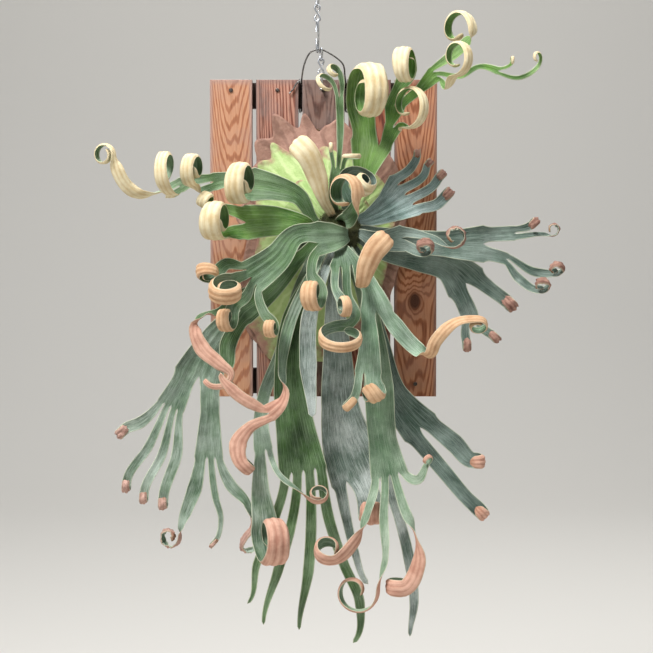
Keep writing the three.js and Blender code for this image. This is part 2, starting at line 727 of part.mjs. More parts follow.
frond('frond_centre_left', paleLeaf, 340, 62, blade(
  [[42, 120, -384, 24, 'FR'], [24, 130, -386, 42, 'F'], [2, 132, -388, 52, 'F']],
  forks(
    wide(0.9, blade([[-9, 142, -440, 20, 'F'], [2, 148, -468, 40, 'FFFL']], roll('D', 25, 10, 1.3, 4, 0.6))),
    wide(1.6, blade([[-30, 130, -382, 40, 'F'], [-62, 134, -418, 58, 'F'], [-98, 138, -445, 72, 'F']], forks(
      blade([[-80, 142, -500, 20, 'F'], [-66, 144, -520, 26, 'FFFL']], roll('D', 14, 7, 1.2)),
      blade([[-108, 128, -476, 22, 'F'], [-126, 118, -490, 28, 'F'], [-129, 120, -506, 32, 'FFFL']],
        roll('D', 19, 8, 1.3, 4, 0.6)),
      blade([[-118, 152, -446, 28, 'FFD'], [-132, 160, -453, 42, 'FFD']], roll('L', 27, 12, 1.3, 0, 0.6)),
      blade([[-136, 132, -426, 24, 'F'], [-160, 128, -444, 32, 'FFU']], roll('L', 19, 8, 1.3, -6, 0.5)),
    ))),
  ),
));

frond('frond_centre_curls', feltLeaf, 268, 44, blade(
  [[38, 124, -410, 28, 'F'], [42, 134, -426, 48, 'F']],
  forks(
    blade([[66, 150, -460, 20, 'FFU'], [68, 170, -456, 30, 'U'], [75, 180, -428, 42, 'BU'], [92, 180, -398, 46, 'B']],
      roll('UR', 18, 9, 0.9)),
    blade([[46, 144, -476, 18, 'F'], [56, 150, -506, 24, 'FD'], [40, 156, -518, 28, 'FFD']],
      roll('L', 36, 22, 1.0)),
    blade([[27, 158, -464, 15, 'F'], [37, 168, -486, 24, 'FFFR']], roll('D', 17, 9, 1.2, 4, 0.6)),
  ),
));

frond('frond_mint_fork', paleLeaf, 300, 28, blade(
  [[62, 118, -434, 22, 'F'], [80, 126, -464, 28, 'F'], [88, 132, -496, 50, 'F']],
  forks(
    blade([[118, 140, -520, 34, 'F'], [150, 142, -554, 30, 'F'], [166, 154, -564, 24, 'BU'],
      [178, 166, -542, 26, 'B'], [210, 164, -512, 24, 'BD'], [240, 160, -508, 18, 'DB']], roll('R', 15, 7, 1.2)),
    blade([[78, 138, -548, 40, 'F'], [76, 140, -588, 54, 'F']], forks(
      wide(1.8, blade([[88, 146, -614, 38, 'F']], roll('DDR', 15, 8, 1.3, 12, 0.6))),
      blade([[50, 148, -634, 18, 'F']], roll('DL', 13, 6, 1.3)),
    )),
  ),
));

frond('frond_lower_right', paleLeaf, 288, 6, blade(
  [[62, 108, -446, 22, 'F'], [84, 108, -530, 30, 'F'], [92, 114, -610, 44, 'F'], [98, 122, -690, 42, 'F'],
    [108, 128, -742, 56, 'F']],
  forks(
    blade([[148, 136, -752, 20, 'F'], [168, 138, -724, 11, 'FL']], roll('UR', 8, 5, 0.9)),
    blade([[132, 142, -798, 20, 'F'], [148, 150, -836, 22, 'R'], [152, 158, -880, 32, 'BBR'],
      [126, 160, -918, 34, 'B']], roll('L', 20, 11, 0.9)),
    blade([[100, 138, -812, 18, 'F'], [103, 146, -870, 18, 'FL'], [92, 154, -920, 22, 'LLLB']],
      roll('D', 35, 9, 1.15)),
    blade([[74, 142, -806, 22, 'FL'], [57, 154, -846, 30, 'LB'], [18, 162, -876, 36, 'BU']],
      roll('L', 21, 12, 0.9)),
  ),
));

frond('frond_lower_broad', paleLeaf, 264, 0, blade(
  [[26, 94, -474, 26, 'F'], [30, 92, -560, 42, 'F'], [34, 90, -640, 56, 'F'], [48, 88, -704, 80, 'F'],
    [64, 88, -744, 92, 'F']],
  forks(
    blade([[122, 92, -806, 20, 'F'], [138, 94, -870, 22, 'F'], [146, 94, -940, 18, 'F'], [140, 94, -990, 6, 'F']],
      points('D')),
    wide(2, blade([[80, 98, -796, 52, 'F']], roll('D', 18, 9, 1.2))),
    blade([[42, 90, -802, 20, 'F'], [56, 90, -860, 16, 'F'], [76, 90, -910, 10, 'F']], points('DR')),
  ),
));

frond('frond_centre_long', darkLeaf, 240, 10, blade(
  [[0, 106, -436, 24, 'F'], [-34, 110, -510, 38, 'F'], [-42, 112, -600, 46, 'F'], [-32, 114, -680, 60, 'F'],
    [-22, 116, -736, 72, 'F']],
  forks(
    blade([[16, 114, -806, 22, 'F'], [40, 112, -880, 20, 'F'], [64, 112, -940, 20, 'F'], [54, 110, -1000, 8, 'F']],
      points('DL')),
    blade([[-10, 108, -830, 22, 'F'], [-14, 104, -890, 22, 'F'], [-28, 100, -980, 6, 'F']], points('D')),
    blade([[-42, 106, -830, 20, 'F'], [-60, 102, -890, 20, 'F'], [-82, 98, -972, 6, 'F']], points('D')),
    blade([[-68, 104, -820, 18, 'F'], [-92, 100, -880, 16, 'F'], [-106, 98, -940, 6, 'F']], points('DL')),
  ),
));

frond('frond_silver_ribbon', paleLeaf, 254, 34, blade(
  [[12, 128, -434, 14, 'F'], [-12, 132, -506, 24, 'F'], [-14, 132, -580, 26, 'F'], [-8, 132, -656, 10, 'F']],
  points('D'),
));

frond('frond_salmon_lobe', feltLeaf, 216, 0, blade(
  [[-20, 94, -444, 16, 'F'], [-56, 92, -560, 18, 'F'], [-84, 96, -640, 18, 'F'], [-82, 116, -704, 28, 'F']],
  forks(
    blade([[-56, 140, -746, 12, 'FU'], [-28, 148, -768, 15, 'U'], [0, 150, -786, 16, 'BU']], roll('R', 15, 9, 1.1)),
    wide(1.6, blade([[-86, 124, -768, 36, 'F'], [-80, 128, -828, 58, 'FFFR']], roll('D', 43, 14, 1.25, 0, 0.5))),
  ),
));

frond('frond_left_twist', darkLeaf, 202, 20, blade(
  [[-22, 106, -412, 18, 'F'], [-76, 106, -466, 38, 'F'], [-114, 104, -492, 54, 'F']],
  forks(
    blade([[-134, 112, -546, 34, 'F'], [-140, 118, -586, 26, 'F']], points('DL')),
    blade([[-148, 108, -500, 24, 'FU'], [-172, 122, -502, 24, 'U'], [-184, 136, -522, 24, 'BU'],
      [-174, 142, -552, 32, 'B'], [-148, 146, -576, 26, 'B'], [-130, 146, -594, 13, 'B'],
      [-142, 147, -609, 12, 'B'], [-166, 146, -606, 11, 'B']], roll('UL', 6, 4, 0.9)),
  ),
));

frond('frond_pink_ribbon', feltLeaf, 232, 22, blade(
  [[-8, 116, -440, 15, 'F'], [-46, 120, -530, 18, 'F'], [-54, 132, -590, 16, 'FR'], [-50, 142, -626, 18, 'BR'],
    [-72, 148, -650, 28, 'B']],
  forks(
    blade([[-100, 154, -636, 24, 'B'], [-128, 158, -616, 24, 'B'], [-146, 158, -590, 8, 'B']], points('U')),
    blade([[-104, 148, -674, 24, 'B'], [-120, 150, -698, 36, 'B'], [-112, 154, -730, 26, 'B']],
      roll('DR', 16, 8, 1.0)),
  ),
));

frond('frond_lower_left', paleLeaf, 194, 0, blade(
  [[-44, 84, -420, 24, 'F'], [-106, 82, -490, 32, 'F'], [-156, 82, -546, 48, 'F'], [-178, 82, -594, 76, 'F']],
  forks(
    blade([[-162, 84, -650, 38, 'F'], [-164, 84, -716, 58, 'F']], forks(
      blade([[-132, 90, -758, 24, 'F'], [-106, 98, -790, 20, 'FR'], [-104, 110, -832, 15, 'RB']],
        roll('DL', 30, 12, 0.8)),
      blade([[-154, 90, -778, 14, 'F'], [-146, 94, -812, 10, 'F'], [-156, 96, -846, 9, 'F']],
        roll('DL', 9, 5, 1.0)),
      wide(1.5, blade([[-186, 88, -766, 30, 'F'], [-198, 90, -798, 24, 'F'], [-206, 92, -822, 18, 'FL'],
        [-208, 94, -838, 16, 'LLB']], roll('D', 18, 6, 1.2))),
    )),
    blade([[-220, 80, -638, 58, 'F']], forks(
      blade([[-212, 84, -712, 22, 'F'], [-233, 88, -784, 20, 'F']], roll('D', 10, 5, 1.1)),
      blade([[-234, 84, -712, 18, 'F'], [-262, 88, -776, 18, 'F']], roll('D', 9, 5, 1.1)),
      blade([[-254, 84, -700, 18, 'F'], [-288, 88, -758, 18, 'F']], roll('D', 10, 5, 1.1)),
      blade([[-266, 82, -664, 24, 'F'], [-292, 86, -676, 22, 'F']], roll('LD', 11, 6, 1.1)),
    )),
  ),
));

frond('frond_right_up', darkLeaf, 32, 0, blade(
  [[74, 76, -358, 24, 'F'], [102, 64, -344, 44, 'F'], [130, 58, -324, 74, 'F']],
  forks(
    blade([[140, 56, -282, 18, 'F'], [149, 56, -262, 14, 'F']], roll('U', 6, 4, 0.9)),
    blade([[160, 56, -292, 16, 'F'], [166, 56, -276, 14, 'F']], roll('UR', 7, 4, 1.0)),
    blade([[174, 58, -308, 18, 'F'], [184, 58, -294, 18, 'F']], roll('UR', 8, 5, 1.1)),
    blade([[180, 58, -336, 22, 'F'], [194, 58, -322, 22, 'F']], roll('UR', 8, 5, 1.1)),
  ),
));

frond('frond_right_long', darkLeaf, 6, 0, blade(
  [[92, 82, -382, 22, 'F'], [130, 76, -390, 32, 'F'], [190, 70, -396, 38, 'F'], [248, 66, -396, 56, 'F']],
  forks(
    blade([[294, 64, -380, 30, 'F']], forks(
      blade([[322, 66, -366, 18, 'F']], roll('UR', 9, 5, 1.1)),
      blade([[340, 68, -382, 12, 'FU'], [352, 68, -384, 11, 'U']], roll('R', 10, 5, 0.9)),
    )),
    blade([[282, 62, -418, 24, 'F']], forks(
      blade([[326, 60, -438, 18, 'F'], [356, 60, -441, 18, 'FU']], roll('R', 12, 6, 1.1)),
      blade([[300, 64, -446, 18, 'F'], [334, 74, -466, 18, 'FU']], roll('R', 13, 6, 1.1)),
    )),
  ),
));

frond('frond_right_low', darkLeaf, 340, 0, blade(
  [[90, 72, -406, 20, 'F'], [148, 54, -420, 32, 'F'], [196, 50, -430, 46, 'F'], [222, 50, -454, 66, 'F']],
  forks(
    blade([[260, 54, -464, 28, 'F'], [286, 56, -484, 26, 'F']], roll('RD', 12, 7, 1.2)),
    blade([[228, 52, -502, 36, 'F']], forks(
      blade([[252, 56, -526, 18, 'F'], [264, 58, -534, 18, 'F']], roll('RD', 10, 6, 1.1)),
      blade([[222, 56, -534, 18, 'F'], [224, 58, -546, 18, 'F']], roll('D', 10, 6, 1.1)),
    )),
  ),
));

frond('frond_right_bud', darkLeaf, 356, 24, blade(
  [[88, 104, -390, 26, 'F'], [126, 104, -388, 40, 'F']],
  forks(
    blade([[172, 104, -388, 18, 'FU'], [204, 106, -402, 20, 'U']], roll('R', 17, 8, 1.0)),
    blade([[158, 112, -410, 24, 'FU']], roll('R', 14, 7, 1.1)),
  ),
));

frond('frond_right_drop', darkLeaf, 314, 0, blade(
  [[68, 86, -446, 20, 'F'], [92, 78, -540, 28, 'F'], [114, 74, -620, 40, 'F'], [154, 70, -672, 62, 'F']],
  forks(
    blade([[206, 70, -696, 38, 'F'], [236, 72, -722, 32, 'F']], roll('R', 14, 9, 0.7)),
    blade([[192, 72, -740, 30, 'F'], [226, 74, -780, 28, 'F'], [243, 76, -796, 30, 'F']],
      roll('RD', 14, 9, 0.7)),
  ),
));

export default group;
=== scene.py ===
# A staghorn fern grown on a slatted softwood board that hangs from a wire chain: its looks.
# Metres, +Z up, as in the frame. Leaf tables and timber sizes are in millimetres, as in the part's source.
import json
import math
import random

import bpy
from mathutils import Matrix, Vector, noise

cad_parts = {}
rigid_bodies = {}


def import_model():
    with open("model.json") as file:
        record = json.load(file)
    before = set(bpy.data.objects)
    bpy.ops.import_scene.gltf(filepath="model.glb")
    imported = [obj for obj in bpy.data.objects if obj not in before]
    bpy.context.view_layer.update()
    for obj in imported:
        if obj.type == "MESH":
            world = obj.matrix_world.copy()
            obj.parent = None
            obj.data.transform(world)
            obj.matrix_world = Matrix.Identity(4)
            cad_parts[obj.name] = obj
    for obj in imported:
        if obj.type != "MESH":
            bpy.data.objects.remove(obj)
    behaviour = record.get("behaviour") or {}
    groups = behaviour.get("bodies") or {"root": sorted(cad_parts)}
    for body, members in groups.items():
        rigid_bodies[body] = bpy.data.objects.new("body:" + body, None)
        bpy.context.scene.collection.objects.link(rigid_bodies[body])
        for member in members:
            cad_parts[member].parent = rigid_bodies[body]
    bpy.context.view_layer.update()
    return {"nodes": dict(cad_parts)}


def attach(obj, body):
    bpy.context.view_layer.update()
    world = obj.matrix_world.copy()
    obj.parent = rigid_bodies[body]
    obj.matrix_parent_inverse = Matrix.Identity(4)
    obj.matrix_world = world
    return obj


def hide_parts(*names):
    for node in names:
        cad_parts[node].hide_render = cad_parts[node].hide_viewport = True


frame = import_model()
MM = 0.001


# Camera, floor and lights
# The photo was taken from 2.6 m in front of the board, level with the crown, looking slightly down.
# A pale floor sweeps up into a pale wall well behind, and large soft lights hang round the board.
BOARD_FRONT = 7
EYE_DISTANCE = 2600
EYE = Vector((14, BOARD_FRONT - EYE_DISTANCE, -384))
AIM = Vector((13.5, BOARD_FRONT, -520))
PHOTO_HALF_WIDTH = 489.75
BEND_STEPS = 12

scene = bpy.context.scene


def add_object(name, data):
    made = bpy.data.objects.new(name, data)
    scene.collection.objects.link(made)
    return made


def turned_toward(place, aim):
    """The turn that faces a camera or a light from its place to what it looks at."""
    return (Vector(aim) - Vector(place)).to_track_quat("-Z", "Y").to_euler()


camera = add_object("camera", bpy.data.cameras.new("camera"))
camera.location = EYE * MM
camera.rotation_euler = turned_toward(EYE, AIM)
camera.data.angle = 2 * math.atan(PHOTO_HALF_WIDTH / EYE_DISTANCE)
scene.camera = camera


def colour(code):
    """Linear red, green, blue and 1 of a colour written as a hex code."""
    parts = [int(code[i:i + 2], 16) / 255 for i in (0, 2, 4)]
    return tuple(p / 12.92 if p <= 0.04045 else ((p + 0.055) / 1.055) ** 2.4 for p in parts) + (1,)


def feed(tree, socket, value):
    """Gives an input a plain value, a colour written as a hex code, or another node's output."""
    if isinstance(value, bpy.types.NodeSocket):
        tree.links.new(value, socket)
    else:
        socket.default_value = colour(value) if isinstance(value, str) else value


def add_node(tree, kind, inputs=None, **settings):
    """A new node with its settings and its inputs, each under its name or number."""
    made = tree.nodes.new(kind)
    for key, value in settings.items():
        setattr(made, key, value)
    for key, value in (inputs or {}).items():
        feed(tree, made.inputs[key], value)
    return made


def new_material(name):
    """A material with an empty shader, its tree, and the shader."""
    material = bpy.data.materials.new(name)
    material.use_nodes = True
    tree = material.node_tree
    return material, tree, tree.nodes["Principled BSDF"]


def sweep_of_studio(name, half_width, near, far, floor, top, bend):
    """A floor that turns up into a wall through a quarter round."""
    profile = [(near, floor)]
    for step in range(BEND_STEPS + 1):
        angle = math.radians(90 * step / BEND_STEPS)
        profile.append((far - bend + bend * math.sin(angle), floor + bend - bend * math.cos(angle)))
    profile.append((far, top))
    verts = [(x, y, z) for y, z in profile for x in (-half_width, half_width)]
    faces = [(2 * i, 2 * i + 1, 2 * i + 3, 2 * i + 2) for i in range(len(profile) - 1)]
    mesh = bpy.data.meshes.new(name)
    mesh.from_pydata(verts, [], faces)
    mesh.shade_smooth()
    return add_object(name, mesh)


studio = sweep_of_studio("studio_floor", half_width=9, near=-8, far=6, floor=-1.35, top=6, bend=2.5)
studio_paint, _, shader = new_material("studio_paint")
shader.inputs["Base Color"].default_value = colour("d9d6d0")
shader.inputs["Roughness"].default_value = 0.9
studio.data.materials.append(studio_paint)

for name, place, aim, size, power in (
    ("key_light", (-1.1, -1.35, 1.5), (0, -0.05, -0.5), 0.8, 90),
    ("fill_light", (2.0, -2.2, 0.3), (0, -0.05, -0.5), 2.2, 10),
    ("top_light", (0.5, -0.5, 1.6), (0, -0.05, -0.5), 1.0, 22),
    ("back_light", (1.4, 2.0, 1.9), (0, 0.05, -0.4), 1.6, 34),
    ("wall_light", (0, 2.6, 4.2), (0, 6, 0.2), 3.0, 120),
):
    lamp = bpy.data.lights.new(name, "AREA")
    lamp.size = size
    lamp.energy = power
    light = add_object(name, lamp)
    light.location = place
    light.rotation_euler = turned_toward(place, aim)
world = bpy.data.worlds.new("studio_air")
world.use_nodes = True
world.node_tree.nodes["Background"].inputs["Color"].default_value = colour("e8ecf0")
world.node_tree.nodes["Background"].inputs["Strength"].default_value = 0.25
scene.world = world
scene.view_settings.view_transform = "Standard"


# Planks
# Five planed and weathered softwood boards, 63 by 19 mm, nailed side by side with 6 mm gaps.
# Each has its own grain: warm orange at the sides, grey and brown where the plant has wetted them.
PLANKS = 5
PLANK_WIDTH = 63
PLANK_PITCH = 69
BOARD_CENTRE_X = 9
BOARD_TOP = -151.5
BOARD_HEIGHT = 474
RING_SPACING = 3


def plank_centre(index):
    return BOARD_CENTRE_X + (index - PLANKS // 2) * PLANK_PITCH


class Paint:
    """A material that is being mixed, with a short call for each kind of node."""

    def __init__(self, name):
        self.material, self.tree, self.shader = new_material(name)
        self.place = self.node("TexCoord").outputs["Object"]

    def node(self, kind, inputs=None, **settings):
        return add_node(self.tree, "ShaderNode" + kind, inputs, **settings)

    def math(self, operation, *values):
        return self.node("Math", dict(enumerate(values)), operation=operation).outputs[0]

    def plus(self, first, second):
        return self.math("ADD", first, second)

    def minus(self, first, second):
        return self.math("SUBTRACT", first, second)

    def times(self, first, second):
        return self.math("MULTIPLY", first, second)

    def times_plus(self, value, factor, added):
        return self.math("MULTIPLY_ADD", value, factor, added)

    def larger(self, first, second):
        return self.math("MAXIMUM", first, second)

    def length(self, first, second):
        return self.math("SQRT", self.plus(self.times(first, first), self.times(second, second)))

    def split(self, vector):
        """The X, Y and Z of a vector."""
        return self.node("SeparateXYZ", {"Vector": vector}).outputs

    def stretched(self, vector, *scale):
        return self.node("Mapping", {"Vector": vector, "Scale": scale}).outputs["Vector"]

    def mark(self, name):
        """A value that the mesh carries at each of its points."""
        return self.node("Attribute", attribute_name=name).outputs["Fac"]

    def noise(self, vector, scale, detail=4, roughness=0.55, distortion=0):
        return self.node("TexNoise", {
            "Vector": vector, "Scale": scale, "Detail": detail, "Roughness": roughness,
            "Distortion": distortion}).outputs["Fac"]

    def rise(self, value, low, high):
        """Smoothly from 0 at the low value to 1 at the high one."""
        return self.node("MapRange", {
            "Value": value, "From Min": low, "From Max": high, "To Min": 0.0, "To Max": 1.0,
        }, interpolation_type="SMOOTHSTEP").outputs["Result"]

    def ramp(self, factor, *stops):
        """Colours along a ramp of (position, hex code) stops."""
        made = self.node("ValToRGB", {"Fac": factor})
        elements = made.color_ramp.elements
        while len(elements) < len(stops):
            elements.new(0.5)
        for element, (position, code) in zip(elements, stops):
            element.position = position
            element.color = colour(code)
        return made.outputs["Color"]

    def mix(self, factor, first, second):
        """Two colours mixed by a factor."""
        return self.node("Mix", {0: factor, 6: first, 7: second}, data_type="RGBA").outputs[2]

    def finish(self, base, roughness, relief, strength, depth, specular=0.5):
        """Joins the colour, the roughness and the relief to the shader, and gives the material."""
        bump = self.node("Bump", {"Height": relief, "Strength": strength, "Distance": depth})
        for key, value in (("Base Color", base), ("Roughness", roughness), ("Specular IOR Level", specular),
                           ("Normal", bump.outputs["Normal"])):
            feed(self.tree, self.shader.inputs[key], value)
        return self.material


def wood(name, centre_x, light, middle, dark, grey, seed, wear=0.5, knots=(), stain=0.0, heart=(0, 40, 0.09)):
    """Weathered softwood with grain along Z. A knot is (x, z, radius) in millimetres on the front. The heart
    of the tree lies behind the plank: how far from its middle line, how deep at the top, and its slope."""
    paint = Paint(name)
    across, depth, height = paint.split(paint.place)
    heart_aside, heart_depth, heart_slope = heart
    swirl = 0.0
    knot_mask = 0.0
    for x, z, radius in knots:
        dx = paint.math("DIVIDE", paint.minus(across, x * MM), radius * MM)
        dz = paint.math("DIVIDE", paint.minus(height, z * MM), radius * 1.5 * MM)
        reach = paint.length(dx, dz)
        near = paint.math("EXPONENT", paint.times(reach, -0.75))
        swirl = paint.times_plus(near, radius * 2.2 * MM, swirl)
        knot_mask = paint.larger(knot_mask, paint.rise(reach, 1.25, 0.5))
    seeded = paint.node("CombineXYZ", {
        "X": paint.plus(across, seed * 0.37), "Y": depth, "Z": paint.plus(height, seed * 1.9),
    }).outputs["Vector"]
    fibres = paint.noise(paint.stretched(seeded, 1500, 300, 26), 1, 5, 0.62)
    flow = paint.noise(paint.stretched(seeded, 46, 20, 3.4), 1, 3, 0.5)
    aside = paint.minus(across, (centre_x + heart_aside) * MM)
    deep = paint.times_plus(height, -heart_slope, (heart_depth + heart_slope * BOARD_TOP) * MM)
    from_heart = paint.length(aside, paint.plus(deep, depth))
    from_heart = paint.plus(paint.times_plus(flow, 0.012, from_heart), swirl)
    rings = paint.math("SINE", paint.times(from_heart, 2 * math.pi / (RING_SPACING * MM)))
    late_wood = paint.rise(rings, -0.2, 0.95)
    tone = paint.times_plus(late_wood, -0.25, paint.times_plus(fibres, 0.5, 0.43))
    base = paint.ramp(tone, (0.3, dark), (0.52, middle), (0.78, light))
    streaks = paint.rise(paint.noise(paint.stretched(seeded, 150, 40, 9), 1, 4, 0.6), 0.52, 0.7)
    base = paint.mix(paint.times(streaks, 0.25 + 0.7 * stain), base, dark)
    patches = paint.rise(paint.noise(seeded, 24, 4, 0.6), 0.42, 0.66)
    from_middle = paint.math("ABSOLUTE", paint.minus(across, centre_x * MM))
    edge = paint.rise(from_middle, (PLANK_WIDTH / 2 - 7) * MM, (PLANK_WIDTH / 2 - 0.5) * MM)
    top = paint.rise(height, (BOARD_TOP - 12) * MM, (BOARD_TOP - 1) * MM)
    worn = paint.larger(paint.times(edge, 0.75), paint.times(top, 0.6))
    worn = paint.larger(worn, paint.times(patches, wear))
    base = paint.mix(worn, base, grey)
    if knots:
        knot_tone = paint.ramp(knot_mask, (0.0, middle), (0.3, dark), (0.6, "6b3a22"), (1.0, "3a1d12"))
        base = paint.mix(paint.times(knot_mask, 0.9), base, knot_tone)
    relief = paint.times_plus(late_wood, 0.4, fibres)
    return paint.finish(base, 0.78, relief, 0.55, 0.0012, specular=0.25)


def dress(name, material):
    """Gives a timber of the frame its look."""
    node = frame["nodes"][name]
    node.data.materials.clear()
    node.data.materials.append(material)


plank_looks = (
    dict(name="orange_wood", light="cc9d7e", middle="b57b5b", dark="84503a", grey="a88f88", seed=1,
         wear=0.25, heart=(4, 16, 0.11)),
    dict(name="pink_wood", light="c99a86", middle="9a6250", dark="4b2a22", grey="8d7872", seed=2,
         wear=0.5, stain=0.75, heart=(30, 20, 0.05)),
    dict(name="grey_wood", light="93766a", middle="6f5046", dark="33211c", grey="86756f", seed=3,
         wear=0.6, stain=0.7, heart=(-8, 30, 0.07)),
    dict(name="red_wood", light="a86a50", middle="7b4233", dark="3c1c16", grey="77625c", seed=4,
         wear=0.4, stain=0.5, knots=[(78, -588, 9)], heart=(20, 24, 0.06)),
    dict(name="orange_wood_right", light="c38d6c", middle="9f6446", dark="66361f", grey="8c6f65", seed=5,
         wear=0.25, stain=0.2, knots=[(146, -482, 11), (128, -300, 4)], heart=(-3, 14, 0.1)),
)
for index, look in enumerate(plank_looks):
    dress(f"plank_{index + 1}", wood(centre_x=plank_centre(index), **look))


# Battens
# Two dark damp softwood battens cross behind the planks and hold them together.
for name in ("batten_upper", "batten_lower"):
    dress(name, wood("batten_wood", BOARD_CENTRE_X, light="5a4238", middle="3a2823", dark="1d1311",
                     grey="4a403c", seed=9, wear=0.5, stain=0.6))


# Nails
# Ten round wire nails, one through each plank into each batten. Only their flat rusty heads show.
NAIL_HEAD = 6
HEAD_THICKNESS = 1.2
HEAD_STANDS_OUT = 0.3
NAIL_HEIGHTS = {"upper": BOARD_TOP - 15.5, "lower": BOARD_TOP - BOARD_HEIGHT + 19}


def metal(name, bright, dull, roughness, rust=None):
    """Worn steel: bright wire with dull patches and, where given, rust in the patches."""
    paint = Paint(name)
    patches = paint.rise(paint.noise(paint.place, 180, 5, 0.65), 0.38, 0.68)
    base = paint.mix(patches, bright, dull)
    if rust:
        spots = paint.rise(paint.noise(paint.place, 420, 4, 0.7), 0.5, 0.66)
        base = paint.mix(spots, base, rust)
    paint.shader.inputs["Metallic"].default_value = 0.85
    rough = paint.plus(paint.times(patches, 0.25), roughness)
    return paint.finish(base, rough, paint.noise(paint.place, 900, 3), 0.3, 0.0004)


def node_tree(name, *inputs):
    """A Geometry Nodes tree with a geometry input and named values, and its two end nodes."""
    tree = bpy.data.node_groups.new(name, "GeometryNodeTree")
    tree.interface.new_socket("Geometry", in_out="INPUT", socket_type="NodeSocketGeometry")
    for label, kind, value in inputs:
        socket = tree.interface.new_socket(label, in_out="INPUT", socket_type=kind)
        if value is not None:
            socket.default_value = value
    tree.interface.new_socket("Geometry", in_out="OUTPUT", socket_type="NodeSocketGeometry")
    return tree, tree.nodes.new("NodeGroupInput"), tree.nodes.new("NodeGroupOutput")


def close_tree(tree, geometry, end, material):
    """Ends a tree in Realize Instances and Set Material."""
    real = add_node(tree, "GeometryNodeRealizeInstances", {"Geometry": geometry})
    painted = add_node(tree, "GeometryNodeSetMaterial", {
        "Geometry": real.outputs["Geometry"], "Material": material})
    tree.links.new(painted.outputs["Geometry"], end.inputs["Geometry"])


def set_input(modifier, label, value):
    """Sets a modifier's input by its socket's identifier."""
    for item in modifier.node_group.interface.items_tree:
        if item.item_type == "SOCKET" and item.in_out == "INPUT" and item.name == label:
            modifier[item.identifier] = value


def grown(source, tree, values, name):
    """The plain mesh that a tree makes from a source object, which is then removed."""
    modifier = source.modifiers.new(tree.name, "NODES")
    modifier.node_group = tree
    for label, value in values.items():
        set_input(modifier, label, value)
    seen = source.evaluated_get(bpy.context.evaluated_depsgraph_get())
    mesh = bpy.data.meshes.new_from_object(seen)
    mesh.name = name
    source.modifiers.remove(modifier)
    bpy.data.objects.remove(source)
    return add_object(name, mesh)


def plain_object(name, verts, faces=()):
    """An object from points in millimetres."""
    mesh = bpy.data.meshes.new(name)
    mesh.from_pydata([Vector(v) * MM for v in verts], [], list(faces))
    return add_object(name, mesh)


nail_steel = metal("nail_steel", "6e6762", "332e2b", 0.42, "4a2618")
nail_tree, start, end = node_tree(
    "nail_heads", ("Head Radius", "NodeSocketFloat", 3 * MM),
    ("Head Thickness", "NodeSocketFloat", HEAD_THICKNESS * MM))
head = add_node(nail_tree, "GeometryNodeMeshCylinder", {
    "Vertices": 20, "Side Segments": 1, "Fill Segments": 1,
    "Radius": start.outputs["Head Radius"], "Depth": start.outputs["Head Thickness"]})
crown_of_head = add_node(nail_tree, "GeometryNodeMeshCone", {
    "Vertices": 20, "Radius Top": 1.4 * MM, "Radius Bottom": 2.9 * MM, "Depth": 0.4 * MM})
raised = add_node(nail_tree, "GeometryNodeTransform", {
    "Geometry": crown_of_head.outputs["Mesh"], "Translation": (0, 0, HEAD_THICKNESS / 2 * MM)})
whole = add_node(nail_tree, "GeometryNodeJoinGeometry")
nail_tree.links.new(head.outputs["Mesh"], whole.inputs["Geometry"])
nail_tree.links.new(raised.outputs["Geometry"], whole.inputs["Geometry"])
placed = add_node(nail_tree, "GeometryNodeInstanceOnPoints", {
    "Points": start.outputs["Geometry"], "Instance": whole.outputs["Geometry"],
    "Rotation": (math.radians(90), 0, 0)})
close_tree(nail_tree, placed.outputs["Instances"], end, nail_steel)
nail_points = [
    (plank_centre(index), BOARD_FRONT - HEAD_STANDS_OUT - HEAD_THICKNESS / 2, height)
    for height in NAIL_HEIGHTS.values() for index in range(PLANKS)
]
nails = grown(plain_object("nail_places", nail_points), nail_tree,
              {"Head Radius": NAIL_HEAD / 2 * MM}, "nail_heads")
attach(nails, "root")
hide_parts(*[f"nail_{index + 1}_{place}" for place in NAIL_HEIGHTS for index in range(PLANKS)])


# Wire bail
# One galvanized wire arches over the middle plank. Each leg goes down a gap between planks, under the
# upper batten, up behind it, and comes forward over it to a short bent tail.
BAIL_WIRE = 2.4
BAIL_TOP = -108.2
BAIL_TOP_X = 2.7
BAIL_CLEARANCE = 1.8
BATTEN_FRONT = 26.3
BATTEN_BACK = 45.3
BATTEN_TOP = BOARD_TOP - 3
BATTEN_BOTTOM = BATTEN_TOP - 38

wire_tree, start, end = node_tree(
    "drawn_wire", ("Radius", "NodeSocketFloat", 1 * MM), ("Material", "NodeSocketMaterial", None))
round_section = add_node(wire_tree, "GeometryNodeCurvePrimitiveCircle", {
    "Resolution": 12, "Radius": start.outputs["Radius"]})
drawn = add_node(wire_tree, "GeometryNodeCurveToMesh", {
    "Curve": start.outputs["Geometry"], "Profile Curve": round_section.outputs["Curve"], "Fill Caps": True})
smooth = add_node(wire_tree, "GeometryNodeSetShadeSmooth", {"Geometry": drawn.outputs["Mesh"]})
close_tree(wire_tree, smooth.outputs["Geometry"], end, start.outputs["Material"])


def through(points, per_span):
    """Points on a smooth line through the given ones."""
    spots = [Vector(p) for p in points]
    spots = [spots[0] * 2 - spots[1]] + spots + [spots[-1] * 2 - spots[-2]]
    line = []
    for a, b, c, d in zip(spots, spots[1:], spots[2:], spots[3:]):
        for step in range(per_span):
            t = step / per_span
            line.append(0.5 * (2 * b + (c - a) * t + (2 * a - 5 * b + 4 * c - d) * t ** 2
                               + (3 * b - a - 3 * c + d) * t ** 3))
    line.append(spots[-2])
    return line


